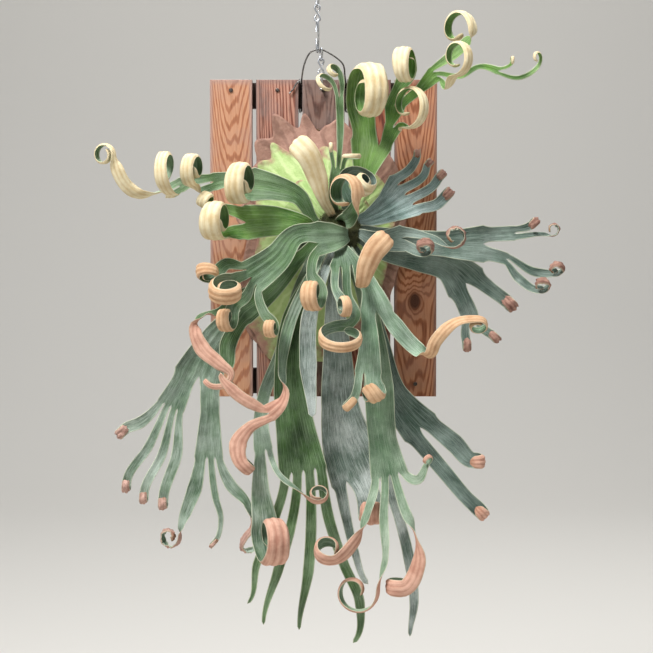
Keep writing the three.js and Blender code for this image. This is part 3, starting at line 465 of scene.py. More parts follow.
def drawn_wire(name, points, diameter, material):
    """A wire of one diameter along a line of points, as a plain mesh."""
    data = bpy.data.curves.new(name + "_line", "CURVE")
    data.dimensions = "3D"
    spline = data.splines.new("POLY")
    spline.points.add(len(points) - 1)
    for target, spot in zip(spline.points, points):
        target.co = (*(Vector(spot) * MM), 1)
    line = add_object(name + "_line", data)
    return grown(line, wire_tree, {"Radius": diameter / 2 * MM, "Material": material}, name)


def bail_half(side):
    """The wire's course from the top of the arch to its tail, on the left or the right side."""
    gap_x = BOARD_CENTRE_X + side * PLANK_PITCH / 2
    leg_x = gap_x - side * 1.5
    return_x = gap_x + side * 1.5
    clear = BAIL_WIRE / 2 + BAIL_CLEARANCE
    leg_y = BATTEN_FRONT - clear
    rise = BAIL_TOP - BOARD_TOP
    return [
        (BAIL_TOP_X + side * 13, 1, BAIL_TOP - rise * 0.08),
        (BOARD_CENTRE_X + side * 28, 5, BAIL_TOP - rise * 0.44),
        (leg_x - side, 14, BOARD_TOP + 6),
        (leg_x, leg_y, BOARD_TOP - 8),
        (leg_x, leg_y, BATTEN_BOTTOM + 6),
        (leg_x, leg_y + 1, BATTEN_BOTTOM - clear - 0.6),
        (gap_x, BATTEN_FRONT + 9.5, BATTEN_BOTTOM - clear - 1.6),
        (return_x, BATTEN_BACK + clear + 0.6, BATTEN_BOTTOM - clear),
        (return_x, BATTEN_BACK + clear + 0.2, BATTEN_BOTTOM + 12),
        (return_x, BATTEN_BACK + clear + 0.2, BATTEN_TOP - 8),
        (return_x, BATTEN_BACK + clear, BATTEN_TOP + clear),
        (return_x, BATTEN_BACK - 8, BATTEN_TOP + clear + 1.5),
        (return_x, BATTEN_FRONT - 3, BATTEN_TOP + clear + 0.6),
        (return_x, BOARD_FRONT + 4, BATTEN_TOP + clear + 0.4),
        (return_x, BOARD_FRONT - clear - 0.6, BATTEN_TOP + 1),
        (return_x + side * 5, BOARD_FRONT - clear - 1.6, BATTEN_TOP - 4),
        (return_x + side * 9, BOARD_FRONT - clear - 0.4, BATTEN_TOP - 11),
        (return_x + side * 15, BOARD_FRONT - clear - 1, BATTEN_TOP - 18),
    ]


bail_steel = metal("bail_steel", "8d8b88", "4a4644", 0.38, "3a2c26")
bail_points = bail_half(-1)[::-1] + [(BAIL_TOP_X, 0, BAIL_TOP)] + bail_half(1)
bail = drawn_wire("bail", through(bail_points, 8), BAIL_WIRE, bail_steel)
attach(bail, "root")
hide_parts("wire_bail")


# Chain and hook
# Bright galvanized links, each a wire bent to a figure of eight and crossing itself at the waist.
# The top link hangs on an S-hook, and spare links dangle from the bail.
CHAIN_WIRE = 2.6
LINK_HALF_WIDTH = 4
LINK_STEPS = 72
LINK_START = 0.56
LINK_SWEEP = 1.86
WAIST_CROSSING = 0.62
HOOK_WIRE = 4
EDGE_ON = math.pi / 2
FACE_ON = 0
LINKS = [
    (0, -24, -45, EDGE_ON),
    (0, -42.1, -66, FACE_ON),
    (0, -62.6, -112, EDGE_ON),
    (5.4, -105.4, -124, EDGE_ON),
    (5.4, -121.1, -146, FACE_ON),
    (5.4, -143.1, -168, EDGE_ON),
]
HOOK_ROUTE = [
    (-7.2, -9.5), (-8, -6), (-5.7, -0.4), (0, 2), (5.7, -0.4), (8, -6), (6.4, -11.5), (0.5, -15),
    (-4.8, -17.5), (-6.5, -21.6), (-4.7, -25.8), (-0.5, -27.6), (3.7, -25.8), (5.5, -21.6), (7.5, -17),
]


def link_line(x, top, bottom, turn):
    """The line of a link's wire: nearly once round a figure of eight that crosses at its waist."""
    middle = (top + bottom) / 2
    half = (top - bottom) / 2
    line = []
    for step in range(LINK_STEPS + 1):
        angle = math.pi * (LINK_START + step / LINK_STEPS * LINK_SWEEP)
        side = LINK_HALF_WIDTH * math.sin(2 * angle)
        over = CHAIN_WIRE * WAIST_CROSSING * math.sin(angle)
        line.append((x + side * math.cos(turn) - over * math.sin(turn),
                     side * math.sin(turn) + over * math.cos(turn), middle + half * math.cos(angle)))
    return line


chain_steel = metal("chain_steel", "d5d8dc", "9a9da1", 0.24)
for index, link in enumerate(LINKS):
    piece = drawn_wire(f"link_{index + 1}", link_line(*link), CHAIN_WIRE, chain_steel)
    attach(piece, "root")
    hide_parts(f"chain_link_{index + 1}")
hook = drawn_wire("top_hook", through([(x, 0, z) for x, z in HOOK_ROUTE], 6), HOOK_WIRE, chain_steel)
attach(hook, "root")
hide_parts("hang_hook")


# Root ball
# A dome of damp peat and moss sits on the planks, held by the shield fronds that grow round it.
# Loose moss strands stand out of it.
BALL_CENTRE = (0, -390)
BALL_HALF_WIDTH = 100
BALL_HALF_HEIGHT = 178
BALL_DEPTH = 52
BALL_SKIN = 0.9
BALL_GAP = 0.3
BALL_SPOKES = 150
BALL_RINGS = 40
CROWN_X = 31
CROWN_OUT = 83.5
CROWN_Z = -378
CROWN_RADIUS = 30
CROWN_DEPTH = 20
MOSS_OUTLINE = [
    (0, 88), (30, 96), (60, 128), (90, 148), (110, 160), (130, 150), (160, 134), (180, 122), (210, 142),
    (235, 178), (255, 178), (280, 150), (310, 112), (335, 92),
]


def ball_depth(x, z):
    rest = 1 - ((x - BALL_CENTRE[0]) / BALL_HALF_WIDTH) ** 2 - ((z - BALL_CENTRE[1]) / BALL_HALF_HEIGHT) ** 2
    return BALL_DEPTH * rest ** 1.5 if rest > 0 else 0


def outline_radius(pairs, degrees):
    """How far an outline of (degrees, radius) pairs reaches from the crown at an angle."""
    for index, (start_at, radius) in enumerate(pairs):
        end_at, next_radius = pairs[(index + 1) % len(pairs)]
        span = (end_at - start_at) % 360
        part = (degrees - start_at) % 360
        if part < span:
            ease = part / span
            return radius + (next_radius - radius) * ease * ease * (3 - 2 * ease)
    return pairs[0][1]


def round_pad(name, spokes, rings, radius_at, back_at, front_at):
    """A closed body between two depths over a round grid with its middle at the crown."""
    verts = []
    reach_of = []
    for depth_at in (front_at, back_at):
        verts.append((CROWN_X, BOARD_FRONT - depth_at(CROWN_X, CROWN_Z, 0, 0), CROWN_Z))
        reach_of.append(0)
        for ring in range(1, rings + 1):
            for spoke in range(spokes):
                degrees = 360 * spoke / spokes
                reach = radius_at(degrees) * ring / rings
                x = CROWN_X + reach * math.cos(math.radians(degrees))
                z = CROWN_Z + reach * math.sin(math.radians(degrees))
                verts.append((x, BOARD_FRONT - depth_at(x, z, degrees, ring / rings), z))
                reach_of.append(ring / rings)
    layer = 1 + rings * spokes

    def at(side, ring, spoke):
        return side * layer + (0 if ring == 0 else 1 + (ring - 1) * spokes + spoke % spokes)

    faces = []
    for spoke in range(spokes):
        for ring in range(rings):
            for side in (0, 1):
                loop = [at(side, ring, spoke), at(side, ring + 1, spoke),
                        at(side, ring + 1, spoke + 1), at(side, ring, spoke + 1)]
                if ring == 0:
                    loop.pop()
                faces.append(loop if side == 0 else loop[::-1])
        p, q = at(0, rings, spoke), at(0, rings, spoke + 1)
        faces.append([p, p + layer, q + layer, q])
    made = plain_object(name, verts, faces)
    mark = made.data.attributes.new("reach", "FLOAT", "POINT")
    mark.data.foreach_set("value", reach_of)
    made.data.shade_smooth()
    return made


def moss_material(name, light, dark, green):
    paint = Paint(name)
    base = paint.ramp(paint.noise(paint.place, 90, 6, 0.65), (0.3, dark), (0.62, light))
    tufts = paint.rise(paint.noise(paint.place, 34, 3), 0.55, 0.68)
    base = paint.mix(paint.times(tufts, 0.6), base, green)
    return paint.finish(base, 0.95, paint.noise(paint.place, 420, 5, 0.7), 0.9, 0.004)


def rough_ball(x, z, degrees, part):
    swell = noise.noise(Vector((x, z, 3)) * 0.045) * 1.2 + noise.noise(Vector((x, z, 9)) * 0.16) * 0.6
    return BALL_SKIN + ball_depth(x, z) + swell * min(1, 3 * (1 - part))


moss = moss_material("moss", "7a5a38", "21150d", "5c6330")
ball = round_pad("moss_body", BALL_SPOKES, BALL_RINGS, lambda degrees: outline_radius(MOSS_OUTLINE, degrees),
                 lambda x, z, degrees, part: BALL_GAP, rough_ball)
ball.data.materials.append(moss)
strand_tree, start, end = node_tree(
    "moss_strands", ("Density", "NodeSocketFloat", 42000.0), ("Seed", "NodeSocketInt", 7))
strand_line = add_node(strand_tree, "GeometryNodeCurvePrimitiveBezierSegment", {
    "Resolution": 4, "Start": (0, 0, -0.001), "Start Handle": (0, 0.0005, 0.002),
    "End Handle": (0.003, 0.001, 0.003), "End": (0.006, 0, 0.0035)})
strand_section = add_node(strand_tree, "GeometryNodeCurvePrimitiveCircle", {
    "Resolution": 3, "Radius": 0.35 * MM})
strand = add_node(strand_tree, "GeometryNodeCurveToMesh", {
    "Curve": strand_line.outputs["Curve"], "Profile Curve": strand_section.outputs["Curve"],
    "Fill Caps": True})
scattered = add_node(strand_tree, "GeometryNodeDistributePointsOnFaces", {
    "Mesh": start.outputs["Geometry"], "Density": start.outputs["Density"], "Seed": start.outputs["Seed"]})
spin = add_node(strand_tree, "FunctionNodeRandomValue", {
    "Min": (0, 0, 0), "Max": (0.5, 0.5, 6.28), "Seed": 4}, data_type="FLOAT_VECTOR")
turned = add_node(strand_tree, "FunctionNodeRotateRotation", {
    "Rotation": scattered.outputs["Rotation"], "Rotate By": spin.outputs["Value"]}, rotation_space="LOCAL")
size_of = add_node(strand_tree, "FunctionNodeRandomValue", {"Seed": 11, 2: 0.5, 3: 1.3}, data_type="FLOAT")
strands = add_node(strand_tree, "GeometryNodeInstanceOnPoints", {
    "Points": scattered.outputs["Points"], "Instance": strand.outputs["Mesh"],
    "Rotation": turned.outputs["Rotation"], "Scale": size_of.outputs[1]})
close_tree(strand_tree, strands.outputs["Instances"], end, moss)


def strands_on(piece, density, seed, name):
    """Short strands that stand out of a piece, as a mesh of their own."""
    source = add_object(name + "_source", piece.data.copy())
    return grown(source, strand_tree, {"Density": density, "Seed": seed}, name)


fibres = strands_on(ball, density=42000.0, seed=7, name="moss_strands")
for piece in (ball, fibres):
    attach(piece, "root")
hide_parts("moss_root_ball")


# Shield fronds
# Papery sterile fronds clasp the root ball: an old brown one behind, with a torn lobed top, then two
# living ones, pale green and ribbed from the crown outward, browning along their rims.
SHIELD_THICKNESS = 1.3
SHIELD_SPOKES = 300
SHIELD_RINGS = 36
TORN_RIM = 0.018
SHIELD_STANDS_OUT = {"dried": 5.6, "green": 11.4, "inner": 14.7}
SHIELD_OUTLINES = {
    "dried": [
        (0, 100), (30, 112), (60, 140), (80, 150), (90, 168), (96, 160), (101, 152), (106, 184), (111, 166),
        (119, 200), (125, 172), (132, 184), (140, 160), (150, 166), (160, 146), (172, 154), (182, 136),
        (200, 148), (218, 190), (232, 206), (250, 198), (270, 180), (300, 128), (330, 106),
    ],
    "green": [
        (0, 84), (30, 92), (60, 104), (85, 112), (100, 128), (110, 120), (116, 146), (121, 138), (127, 166),
        (133, 148), (139, 158), (147, 140), (165, 128), (180, 118), (196, 128), (212, 150), (228, 196),
        (243, 216), (252, 190), (263, 196), (275, 150), (300, 108), (330, 88),
    ],
    "inner": [
        (0, 56), (40, 60), (70, 70), (95, 84), (110, 76), (130, 96), (145, 84), (165, 92), (190, 80),
        (215, 94), (240, 88), (265, 92), (290, 70), (325, 58),
    ],
}
SHIELD_RIBS = {"dried": (0.3, 0.5), "green": (0.6, 2), "inner": (0.6, 3)}
VEINS_ROUND = 46
FOLDS_ROUND = 12


def shield_material(name, pale, green, brown, rim_start):
    paint = Paint(name)
    centred = paint.node("Mapping", {
        "Vector": paint.place, "Location": (-CROWN_X * MM, 0, -CROWN_Z * MM)}).outputs["Vector"]
    x, _, z = paint.split(centred)
    round_crown = paint.times(paint.math("ARCTAN2", z, x), VEINS_ROUND)
    ribs = paint.math("SINE", paint.plus(round_crown, paint.times(paint.noise(paint.place, 26, 3), 9)))
    rib_line = paint.rise(ribs, 0.25, 0.95)
    base = paint.mix(paint.noise(paint.place, 60, 5, 0.6), green, pale)
    base = paint.mix(paint.times(rib_line, 0.55), base, pale)
    dying = paint.plus(paint.mark("reach"), paint.times(paint.noise(paint.place, 40, 4), 0.5))
    papery = paint.mix(paint.noise(paint.place, 120, 5, 0.65), brown, "b99482")
    papery = paint.mix(paint.times(rib_line, 0.35), papery, "5c3d33")
    base = paint.mix(paint.rise(dying, rim_start, rim_start + 0.16), base, papery)
    relief = paint.plus(paint.times(ribs, 0.35), paint.noise(paint.place, 260, 4, 0.6))
    return paint.finish(base, 0.72, relief, 0.6, 0.0016, specular=0.3)


shield_looks = {
    "dried": shield_material("dried_shield", "a87b69", "80574a", "7a5245", 0.0),
    "green": shield_material("green_shield", "c6d69c", "7fa24c", "8a5c4c", 1.12),
    "inner": shield_material("young_shield", "c4d69a", "7ba44c", "8a5c4c", 1.2),
}


def ragged(outline, amount, seed):
    """The outline with small torn notches between its corners."""
    def radius_at(degrees):
        turn = math.radians(degrees)
        torn = noise.noise(Vector((math.cos(turn) * 9, math.sin(turn) * 9, seed)))
        return outline_radius(outline, degrees) * (1 + amount * torn)
    return radius_at


for layer, outline in SHIELD_OUTLINES.items():
    rib, lift = SHIELD_RIBS[layer]
    stands = SHIELD_STANDS_OUT[layer]

    def shield_middle(x, z, degrees, part):
        turn = math.radians(degrees)
        veins = 0.35 * part * math.cos(turn * VEINS_ROUND + 3 * noise.noise(Vector((x, z, 0)) * 0.03))
        curl = 1.4 * part ** 6 * noise.noise(Vector((degrees * 0.09, part, 4)))
        return (stands + ball_depth(x, z) + rib * part * math.cos(turn * FOLDS_ROUND)
                + lift * part ** 4 + veins + curl)

    pad = round_pad(
        f"shield_{layer}", SHIELD_SPOKES, SHIELD_RINGS, ragged(outline, TORN_RIM, len(layer)),
        lambda x, z, degrees, part: shield_middle(x, z, degrees, part) - SHIELD_THICKNESS / 2,
        lambda x, z, degrees, part: shield_middle(x, z, degrees, part) + SHIELD_THICKNESS / 2)
    pad.data.materials.append(shield_looks[layer])
    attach(pad, "root")
    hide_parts(f"shield_frond_{layer}")


# Crown
# The growing point is a low dome covered in green and brown woolly scales. The stalks of all the leaves
# start on it. Its points are listed in a fixed order, so that the scales fall in the same places each run.
CROWN_STEPS = 64
CROWN_RINGS = 32


def crown_point(rise, turn):
    """A point of the roughened dome, at angles down from its top and round it."""
    spot = Vector((math.sin(rise) * math.cos(turn), math.sin(rise) * math.sin(turn), math.cos(rise)))
    swell = 1 + 0.05 * noise.noise(spot * 3.1) + 0.03 * noise.noise(spot * 9)
    return (CROWN_X + spot.x * CROWN_RADIUS * swell,
            BOARD_FRONT - CROWN_OUT + spot.y * CROWN_DEPTH * swell,
            CROWN_Z + spot.z * CROWN_RADIUS * swell)


dome_points = [crown_point(0, 0), crown_point(math.pi, 0)]
for ring in range(1, CROWN_RINGS):
    for step in range(CROWN_STEPS):
        dome_points.append(crown_point(math.pi * ring / CROWN_RINGS, 2 * math.pi * step / CROWN_STEPS))
dome_faces = []
for step in range(CROWN_STEPS):
    here, beside = 2 + step, 2 + (step + 1) % CROWN_STEPS
    dome_faces.append((0, here, beside))
    for ring in range(CROWN_RINGS - 2):
        dome_faces.append((here, here + CROWN_STEPS, beside + CROWN_STEPS, beside))
        here, beside = here + CROWN_STEPS, beside + CROWN_STEPS
    dome_faces.append((1, beside, here))
crown_wool = moss_material("crown_wool", "7d7f55", "2a3019", "53693a")
crown = plain_object("crown_dome", dome_points, dome_faces)
crown.data.shade_smooth()
crown.data.materials.append(crown_wool)
wool = strands_on(crown, density=260000.0, seed=3, name="crown_scales")
wool.data.materials.clear()
wool.data.materials.append(crown_wool)
for piece in (crown, wool):
    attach(piece, "root")
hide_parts("crown")


# Leaves
# Each leaf is one strap that starts on the crown, forks again and again, and curls at its tips. Its upper
# side is green with a white bloom, its underside and rolled tips carry pale felt. A leaf is laid out as it
# is seen against the board: a blade runs through points of x, out, z, width and facing, and then forks,
# rolls up or ends in a point. Out is the distance in front of the board. Facing is the way the upper side
# looks, and it is plain forward where it is left out.
BLADE_THICKNESS = 1.1
THICKNESS_BY_WIDTH = 0.012
RIM_THICKNESS = 0.62
BASE_WIDTH = 11
BASE_GAP = 0.1
TROUGH = 0.1
NECK = 0.26
ROW_SPACING = 4.2
LEAST_ROWS_A_TURN = 26
RUFFLE = 0.035
RIDGE_DEPTH = 0.018
CURLED_RIDGE_DEPTH = 0.022
CURLED_RIM = 0.09
SWELL = 0.5
CRUMPLED = 3.2
CRUMPLED_LOOKS = ("dark", "frosted", "crinkled")
WAYS = {"F": (0, -1, 0), "B": (0, 1, 0), "L": (-1, 0, 0), "R": (1, 0, 0), "U": (0, 0, 1), "D": (0, 0, -1)}


def toward(word):
    return sum((Vector(WAYS[letter]) for letter in word), Vector()).normalized()


def blade(run, ending=None):
    return {"run": run, "share": 1, **(ending or {})}


def forks(*children):
    return {"children": children}


def roll(heading, radius, last_radius, turns, drift=0, tip_width=0.7):
    """The tip turns from its heading toward its upper side, from the first radius down to the last."""
    return {"heading": heading, "curl": (radius, last_radius, turns, drift, tip_width)}


def points(heading):
    return {"heading": heading}


def wide(share, leaf):
    """Gives a branch a larger or smaller part of its parent's width than its neighbours have."""
    return {**leaf, "share": share}


def knot_at(knot):
    x, out, z, width, facing = (*knot, "F")[:5]
    near = out / EYE_DISTANCE
    return Vector((x, BOARD_FRONT, z)).lerp(EYE, near), width * (1 - near), toward(facing)


def square_to(normal, tangent):
    return (normal - tangent * normal.dot(tangent)).normalized()


def samples_of(leaf, start):
    """Closely spaced places along a blade, each with its tangent, normal, width and distance travelled."""
    knots = [(start["place"], start["width"], start["normal"])] + [knot_at(knot) for knot in leaf["run"]]
    last = toward(leaf["heading"]) if "heading" in leaf else None
    chords = [b[0] - a[0] for a, b in zip(knots, knots[1:])]
    tangents = [start["tangent"].copy()]
    for before, after in zip(chords, chords[1:]):
        lean = before * (after.length / before.length) + after * (before.length / after.length)
        tangents.append(lean.normalized())
    tangents.append(last or (chords[-1].normalized() * 1.6 - tangents[-1] * 0.6).normalized())
    samples = []
    for index, chord in enumerate(chords):
        a, b = knots[index], knots[index + 1]
        length = chord.length
        steps = max(3, round(length / ROW_SPACING))
        for step in range(0 if index == 0 else 1, steps + 1):
            t = step / steps
            ease = t * t * (3 - 2 * t)
            place = a[0] * (1 - ease) + b[0] * ease
            pull = tangents[index] * (length * t * (1 - t) ** 2)
            pull -= tangents[index + 1] * (length * t * t * (1 - t))
            place += pull
            samples.append({"place": place, "normal": a[2].lerp(b[2], ease),
                            "width": a[1] + (b[1] - a[1]) * t, "curled": 0})
    for index, sample in enumerate(samples):
        before = samples[max(0, index - 1)]["place"]
        after = samples[min(len(samples) - 1, index + 1)]["place"]
        sample["tangent"] = (after - before).normalized()
    samples[0]["tangent"] = start["tangent"].copy()
    if last:
        samples[-1]["tangent"] = last
    for sample in samples:
        sample["normal"] = square_to(sample["normal"], sample["tangent"])
    if "curl" in leaf:
        add_curl(samples, *leaf["curl"])
    travelled = 0
    for index, sample in enumerate(samples):
        if index:
            travelled += (sample["place"] - samples[index - 1]["place"]).length
        sample["travelled"] = travelled
    return samples


def add_curl(samples, radius, last_radius, turns, drift, tip_width):
    end_of_run = samples[-1]
    tangent, normal, width = end_of_run["tangent"], end_of_run["normal"], end_of_run["width"]
    count = math.ceil(turns * max(LEAST_ROWS_A_TURN, 2 * math.pi * radius / ROW_SPACING))
    bend = turns * 2 * math.pi / count
    sideways = tangent.cross(normal)
    place = end_of_run["place"].copy()
    for step in range(1, count + 1):
        part = step / count
        reach = radius + (last_radius - radius) * part
        halfway = (step - 0.5) * bend
        angle = step * bend
        onward = tangent * (math.cos(halfway) * reach * bend)
        inward = normal * (math.sin(halfway) * reach * bend)
        place = place + onward + inward + sideways * (drift * bend / (2 * math.pi))
        samples.append({
            "place": place, "width": width * (1 + (tip_width - 1) * part), "curled": min(1, part * 4),
            "tangent": tangent * math.cos(angle) + normal * math.sin(angle),
            "normal": normal * math.cos(angle) - tangent * math.sin(angle)})


def columns_of(leaf):
    """Where a blade's points lie across it, from 0 to 1: enough for each of its branches."""
    if "children" not in leaf:
        widest = max(knot[3] for knot in leaf["run"])
        count = 4 if widest < 13 else 8 if widest < 26 else 12
        rim = min(0.12, 1.5 / widest)
        return [0] + [rim + (1 - 2 * rim) * index / count for index in range(count + 1)] + [1]
    whole = sum(child["share"] for child in leaf["children"])
    places = [0]
    for child in leaf["children"]:
        begin = places[-1]
        places += [begin + place * child["share"] / whole for place in columns_of(child)[1:]]
    return places


class Sheet:
    """The middle surface of one leaf, and what its skin needs at each point."""

    def __init__(self, seed, crumple):
        self.places, self.normals, self.halves, self.marks, self.faces = [], [], [], [], []
        self.seed = seed
        self.crumple = crumple


def add_row(sheet, sample, columns, width, marks, shape, offsets=None, fade=0):
    """One row of points across a blade. The offsets of a branch's first row fade out along it."""
    sideways = sample["tangent"].cross(sample["normal"])
    row = []
    for index, share in enumerate(columns):
        u = 2 * share - 1
        lift, crest = shape(u, sample, width)
        place = sample["place"] + sideways * (width / 2 * u)
        place += sample["normal"] * (TROUGH * width * (u * u - 0.5) + lift)
        if offsets and fade:
            place += offsets[index] * fade
        row.append(len(sheet.places))
        sheet.places.append(place)
        sheet.normals.append(sample["normal"])
        edge = 1 - abs(u)
        taper = RIM_THICKNESS + (1 - RIM_THICKNESS) * min(1, edge * 4)
        sheet.halves.append((BLADE_THICKNESS + THICKNESS_BY_WIDTH * width) / 2 * taper)
        margin = max(0, 1 - edge * width / 2 / 2)
        along = (marks[1] + sample["travelled"]) / 10
        # Painted shade: an underside turned toward the board is marked 0 and gets the greener shaded felt;
        # curled parts and undersides turned toward the front are marked 1 and keep the full felt colour.
        felt_out_of_shade = min(1, max(sample["curled"], (sample["normal"].y + 0.85) / 0.5, 0))
        sheet.marks.append((marks[0] + index, along, margin, marks[2](sample), crest, felt_out_of_shade))
    return row


def grow(sheet, leaf, start, first_row, first_column, travelled):
    samples = samples_of(leaf, start)
    columns = columns_of(leaf)
    length = samples[-1]["travelled"]
    ends = "children" not in leaf
    phase = noise.noise(Vector((samples[0]["place"].x, samples[0]["place"].z, sheet.seed)) * 0.1) * 40
    wave_length = 54 + 26 * abs(noise.noise(samples[0]["place"] * 0.07))
    widest = max(sample["width"] for sample in samples)
    ridges = 2 if widest > 60 else 1 if widest > 18 else 0

    def shape(u, sample, width):
        along, curled = sample["travelled"], sample["curled"]
        start_up = min(1, along / 30)
        wave = math.sin(along / wave_length * 2 * math.pi + phase + 1.3 * u)
        ruffle = RUFFLE * width * abs(u) ** 3 * wave
        crest = abs(math.cos((ridges + 0.5) * math.pi * u))
        ridge = -(RIDGE_DEPTH + CURLED_RIDGE_DEPTH * curled) * width * crest
        inroll = CURLED_RIM * curled * width * max(0, (abs(u) - 0.72) / 0.28) ** 2
        swell = SWELL * noise.noise(Vector((u * 2.5, along * 0.035, sheet.seed + phase)))
        crumple = sheet.crumple * curled * noise.noise(Vector((u * width * 0.16, along * 0.2, sheet.seed)))
        return (ruffle + ridge + inroll + swell + crumple) * start_up, crest

    def tip_mark(sample):
        return max(0, 1 - (length - sample["travelled"]) / (0.3 * length + 1)) if ends else 0

    tip = samples[-1]["width"] * 0.5
    offsets = None
    lower = first_row
    for index, sample in enumerate(samples):
        width = sample["width"]
        if start.get("neck"):
            ease = min(1, sample["travelled"] / (0.55 * samples[0]["width"]))
            width *= 1 - NECK * (1 - (1 - ease) ** 2)
        if ends and sample["travelled"] > length - tip:
            back = 1 - (length - sample["travelled"]) / tip
            width *= max(0.16, math.sqrt(max(0, 1 - back * back)))
        if index == 0:
            sideways = sample["tangent"].cross(sample["normal"])
            offsets = []
            for place_index, share in enumerate(columns):
                u = 2 * share - 1
                flat = sample["place"] + sideways * (width / 2 * u)
                flat += sample["normal"] * (TROUGH * width * (u * u - 0.5))
                offsets.append(sheet.places[first_row[place_index]] - flat)
            continue
        fade = max(0, 1 - sample["travelled"] / max(8, 0.9 * samples[0]["width"])) ** 2
        marks = (first_column, travelled, tip_mark)
        upper = add_row(sheet, sample, columns, width, marks, shape, offsets, fade)
        for a, b, c, d in zip(lower, lower[1:], upper[1:], upper):
            sheet.faces.append((a, b, c, d))
        lower = upper
    if ends:
        return
    end = samples[-1]
    begin = 0
    for child in leaf["children"]:
        count = len(columns_of(child)) - 1
        shared = lower[begin:begin + count + 1]
        left, right = sheet.places[shared[0]], sheet.places[shared[-1]]
        place = left.lerp(right, 0.5)
        outward = (knot_at(child["run"][0])[0] - place).normalized()
        tangent = (end["tangent"] * 1.1 + outward).normalized()
        following = {"place": place, "width": (right - left).length, "tangent": tangent,
                     "normal": square_to(end["normal"], tangent), "neck": True}
        grow(sheet, child, following, shared, first_column + begin, travelled + length)
        begin += count


def skin(sheet, name):
    """Gives the sheet its thickness, green above and felt below, with a rounded rim."""
    count = len(sheet.places)
    verts = []
    for side in (1, -1):
        verts += [place + normal * (half * side)
                  for place, normal, half in zip(sheet.places, sheet.normals, sheet.halves)]
    faces = []
    edges = {}
    for face in sheet.faces:
        faces.append(face)
        faces.append(tuple(index + count for index in reversed(face)))
        for a, b in zip(face, face[1:] + face[:1]):
            if (b, a) in edges:
                del edges[b, a]
            else:
                edges[a, b] = True
    outward = {}
    for a, b in edges:
        side_way = (sheet.places[b] - sheet.places[a]).cross(sheet.normals[a])
        for index in (a, b):
            outward[index] = outward.get(index, Vector()) + side_way.normalized()
    rim = {}
    for index, way in outward.items():
        rim[index] = len(verts)
        verts.append(sheet.places[index] + way.normalized() * (sheet.halves[index] * 0.9))
    for a, b in edges:
        faces.append((b, a, rim[a], rim[b]))
        faces.append((rim[b], rim[a], a + count, b + count))
    made = plain_object(name, verts, faces)
    marks = sheet.marks * 2 + [sheet.marks[index] for index in rim]
    sides = [1] * count + [0] * count + [0.5] * len(rim)
    mesh = made.data
    for key, values in (
        ("side", sides), ("margin", [mark[2] for mark in marks]), ("tip", [mark[3] for mark in marks]),
        ("crest", [mark[4] for mark in marks]), ("felt_out_of_shade", [mark[5] for mark in marks]),
    ):
        mesh.attributes.new(key, "FLOAT", "POINT").data.foreach_set("value", values)
    layer = mesh.uv_layers.new(name="veins")
    spots = [marks[loop.vertex_index][:2] for loop in mesh.loops]
    layer.data.foreach_set("uv", [part for spot in spots for part in spot])
    mesh.shade_smooth()
    return made


def leaf_material(name, upper, deep, bloom, bloom_amount, felt, felt_deep, spores):
    """Green above with a white bloom and pale margins, felted below, with a greener copy of the felt painted
    as shade on undersides turned toward the board.
    """
    paint = Paint(name)
    place = paint.place
    side, margin, tip, crest, felt_out_of_shade = (
        paint.mark(key) for key in ("side", "margin", "tip", "crest", "felt_out_of_shade"))
    along = paint.node("UVMap", uv_map="veins").outputs["UV"]
    veins = paint.noise(paint.stretched(along, 1.5, 0.16, 1), 1, 3, 0.55, 0.3)
    vein_line = paint.rise(veins, 0.5, 0.6)
    speckle = paint.noise(place, 700, 3, 0.6)
    streaks = paint.noise(paint.stretched(along, 3.2, 0.45, 1), 1, 5, 0.7, 0.2)
    green = paint.times_plus(paint.noise(place, 34, 4, 0.6), 0.55, paint.times(streaks, 0.45))
    top = paint.mix(paint.rise(green, 0.34, 0.64), deep, upper)
    top = paint.mix(paint.times(vein_line, 0.25), top, bloom)
    dusty = paint.times_plus(paint.noise(place, 18, 4, 0.6), 0.5, paint.times(streaks, 0.5))
    dust = paint.times(paint.rise(dusty, 0.4, 0.66), paint.times_plus(speckle, 0.9, 0.45))
    from_stalk = paint.split(along)["Y"]
    silvering = paint.times_plus(paint.rise(from_stalk, 14, 40), 0.3, bloom_amount)
    top = paint.mix(paint.times(dust, silvering), top, bloom)
    edge_light = paint.rise(margin, 0.35, 1.0)
    top = paint.mix(paint.times(edge_light, 0.5), top, "e3e8cc")
    # A real mottle of the felt plus painted light: the crest mark makes the felt lighter on the crests of the
    # rolled ridges, as a painted highlight, and darker in the creases between them, as painted shade.
    felt_mottle_and_crest_shade = paint.times_plus(paint.noise(place, 55, 5, 0.62), 0.9, paint.times(crest, 0.28))
    under = paint.mix(paint.rise(felt_mottle_and_crest_shade, 0.32, 0.9), felt_deep, felt)
    under = paint.mix(paint.times(vein_line, 0.3), under, felt_deep)
    # Painted shade: a greener, darker copy of the felt for undersides turned toward the board.
    shaded = paint.mix(paint.rise(felt_mottle_and_crest_shade, 0.3, 0.8), "84926c", "bcc3a2")
    shaded = paint.mix(paint.times(vein_line, 0.35), shaded, "6f8057")
    # Painted shade: the shaded felt copy where the underside faces the board, the full felt elsewhere.
    under = paint.mix(felt_out_of_shade, shaded, under)
    spore_edge = paint.plus(tip, paint.times(paint.noise(place, 60, 4), 0.5))
    under = paint.mix(paint.times(paint.rise(spore_edge, 0.95, 1.15), spores), under, "8a5a34")
    under = paint.mix(paint.times(edge_light, 0.35), under, "f3e3c4")
    rough = paint.times_plus(dust, 0.2, paint.times_plus(side, -0.36, 0.9))
    fuzz = paint.times(speckle, paint.times_plus(side, -0.75, 1.0))
    relief = paint.plus(paint.times(veins, 1.2), fuzz)
    return paint.finish(paint.mix(side, under, top), rough, relief, 0.45, 0.0013, specular=0.35)


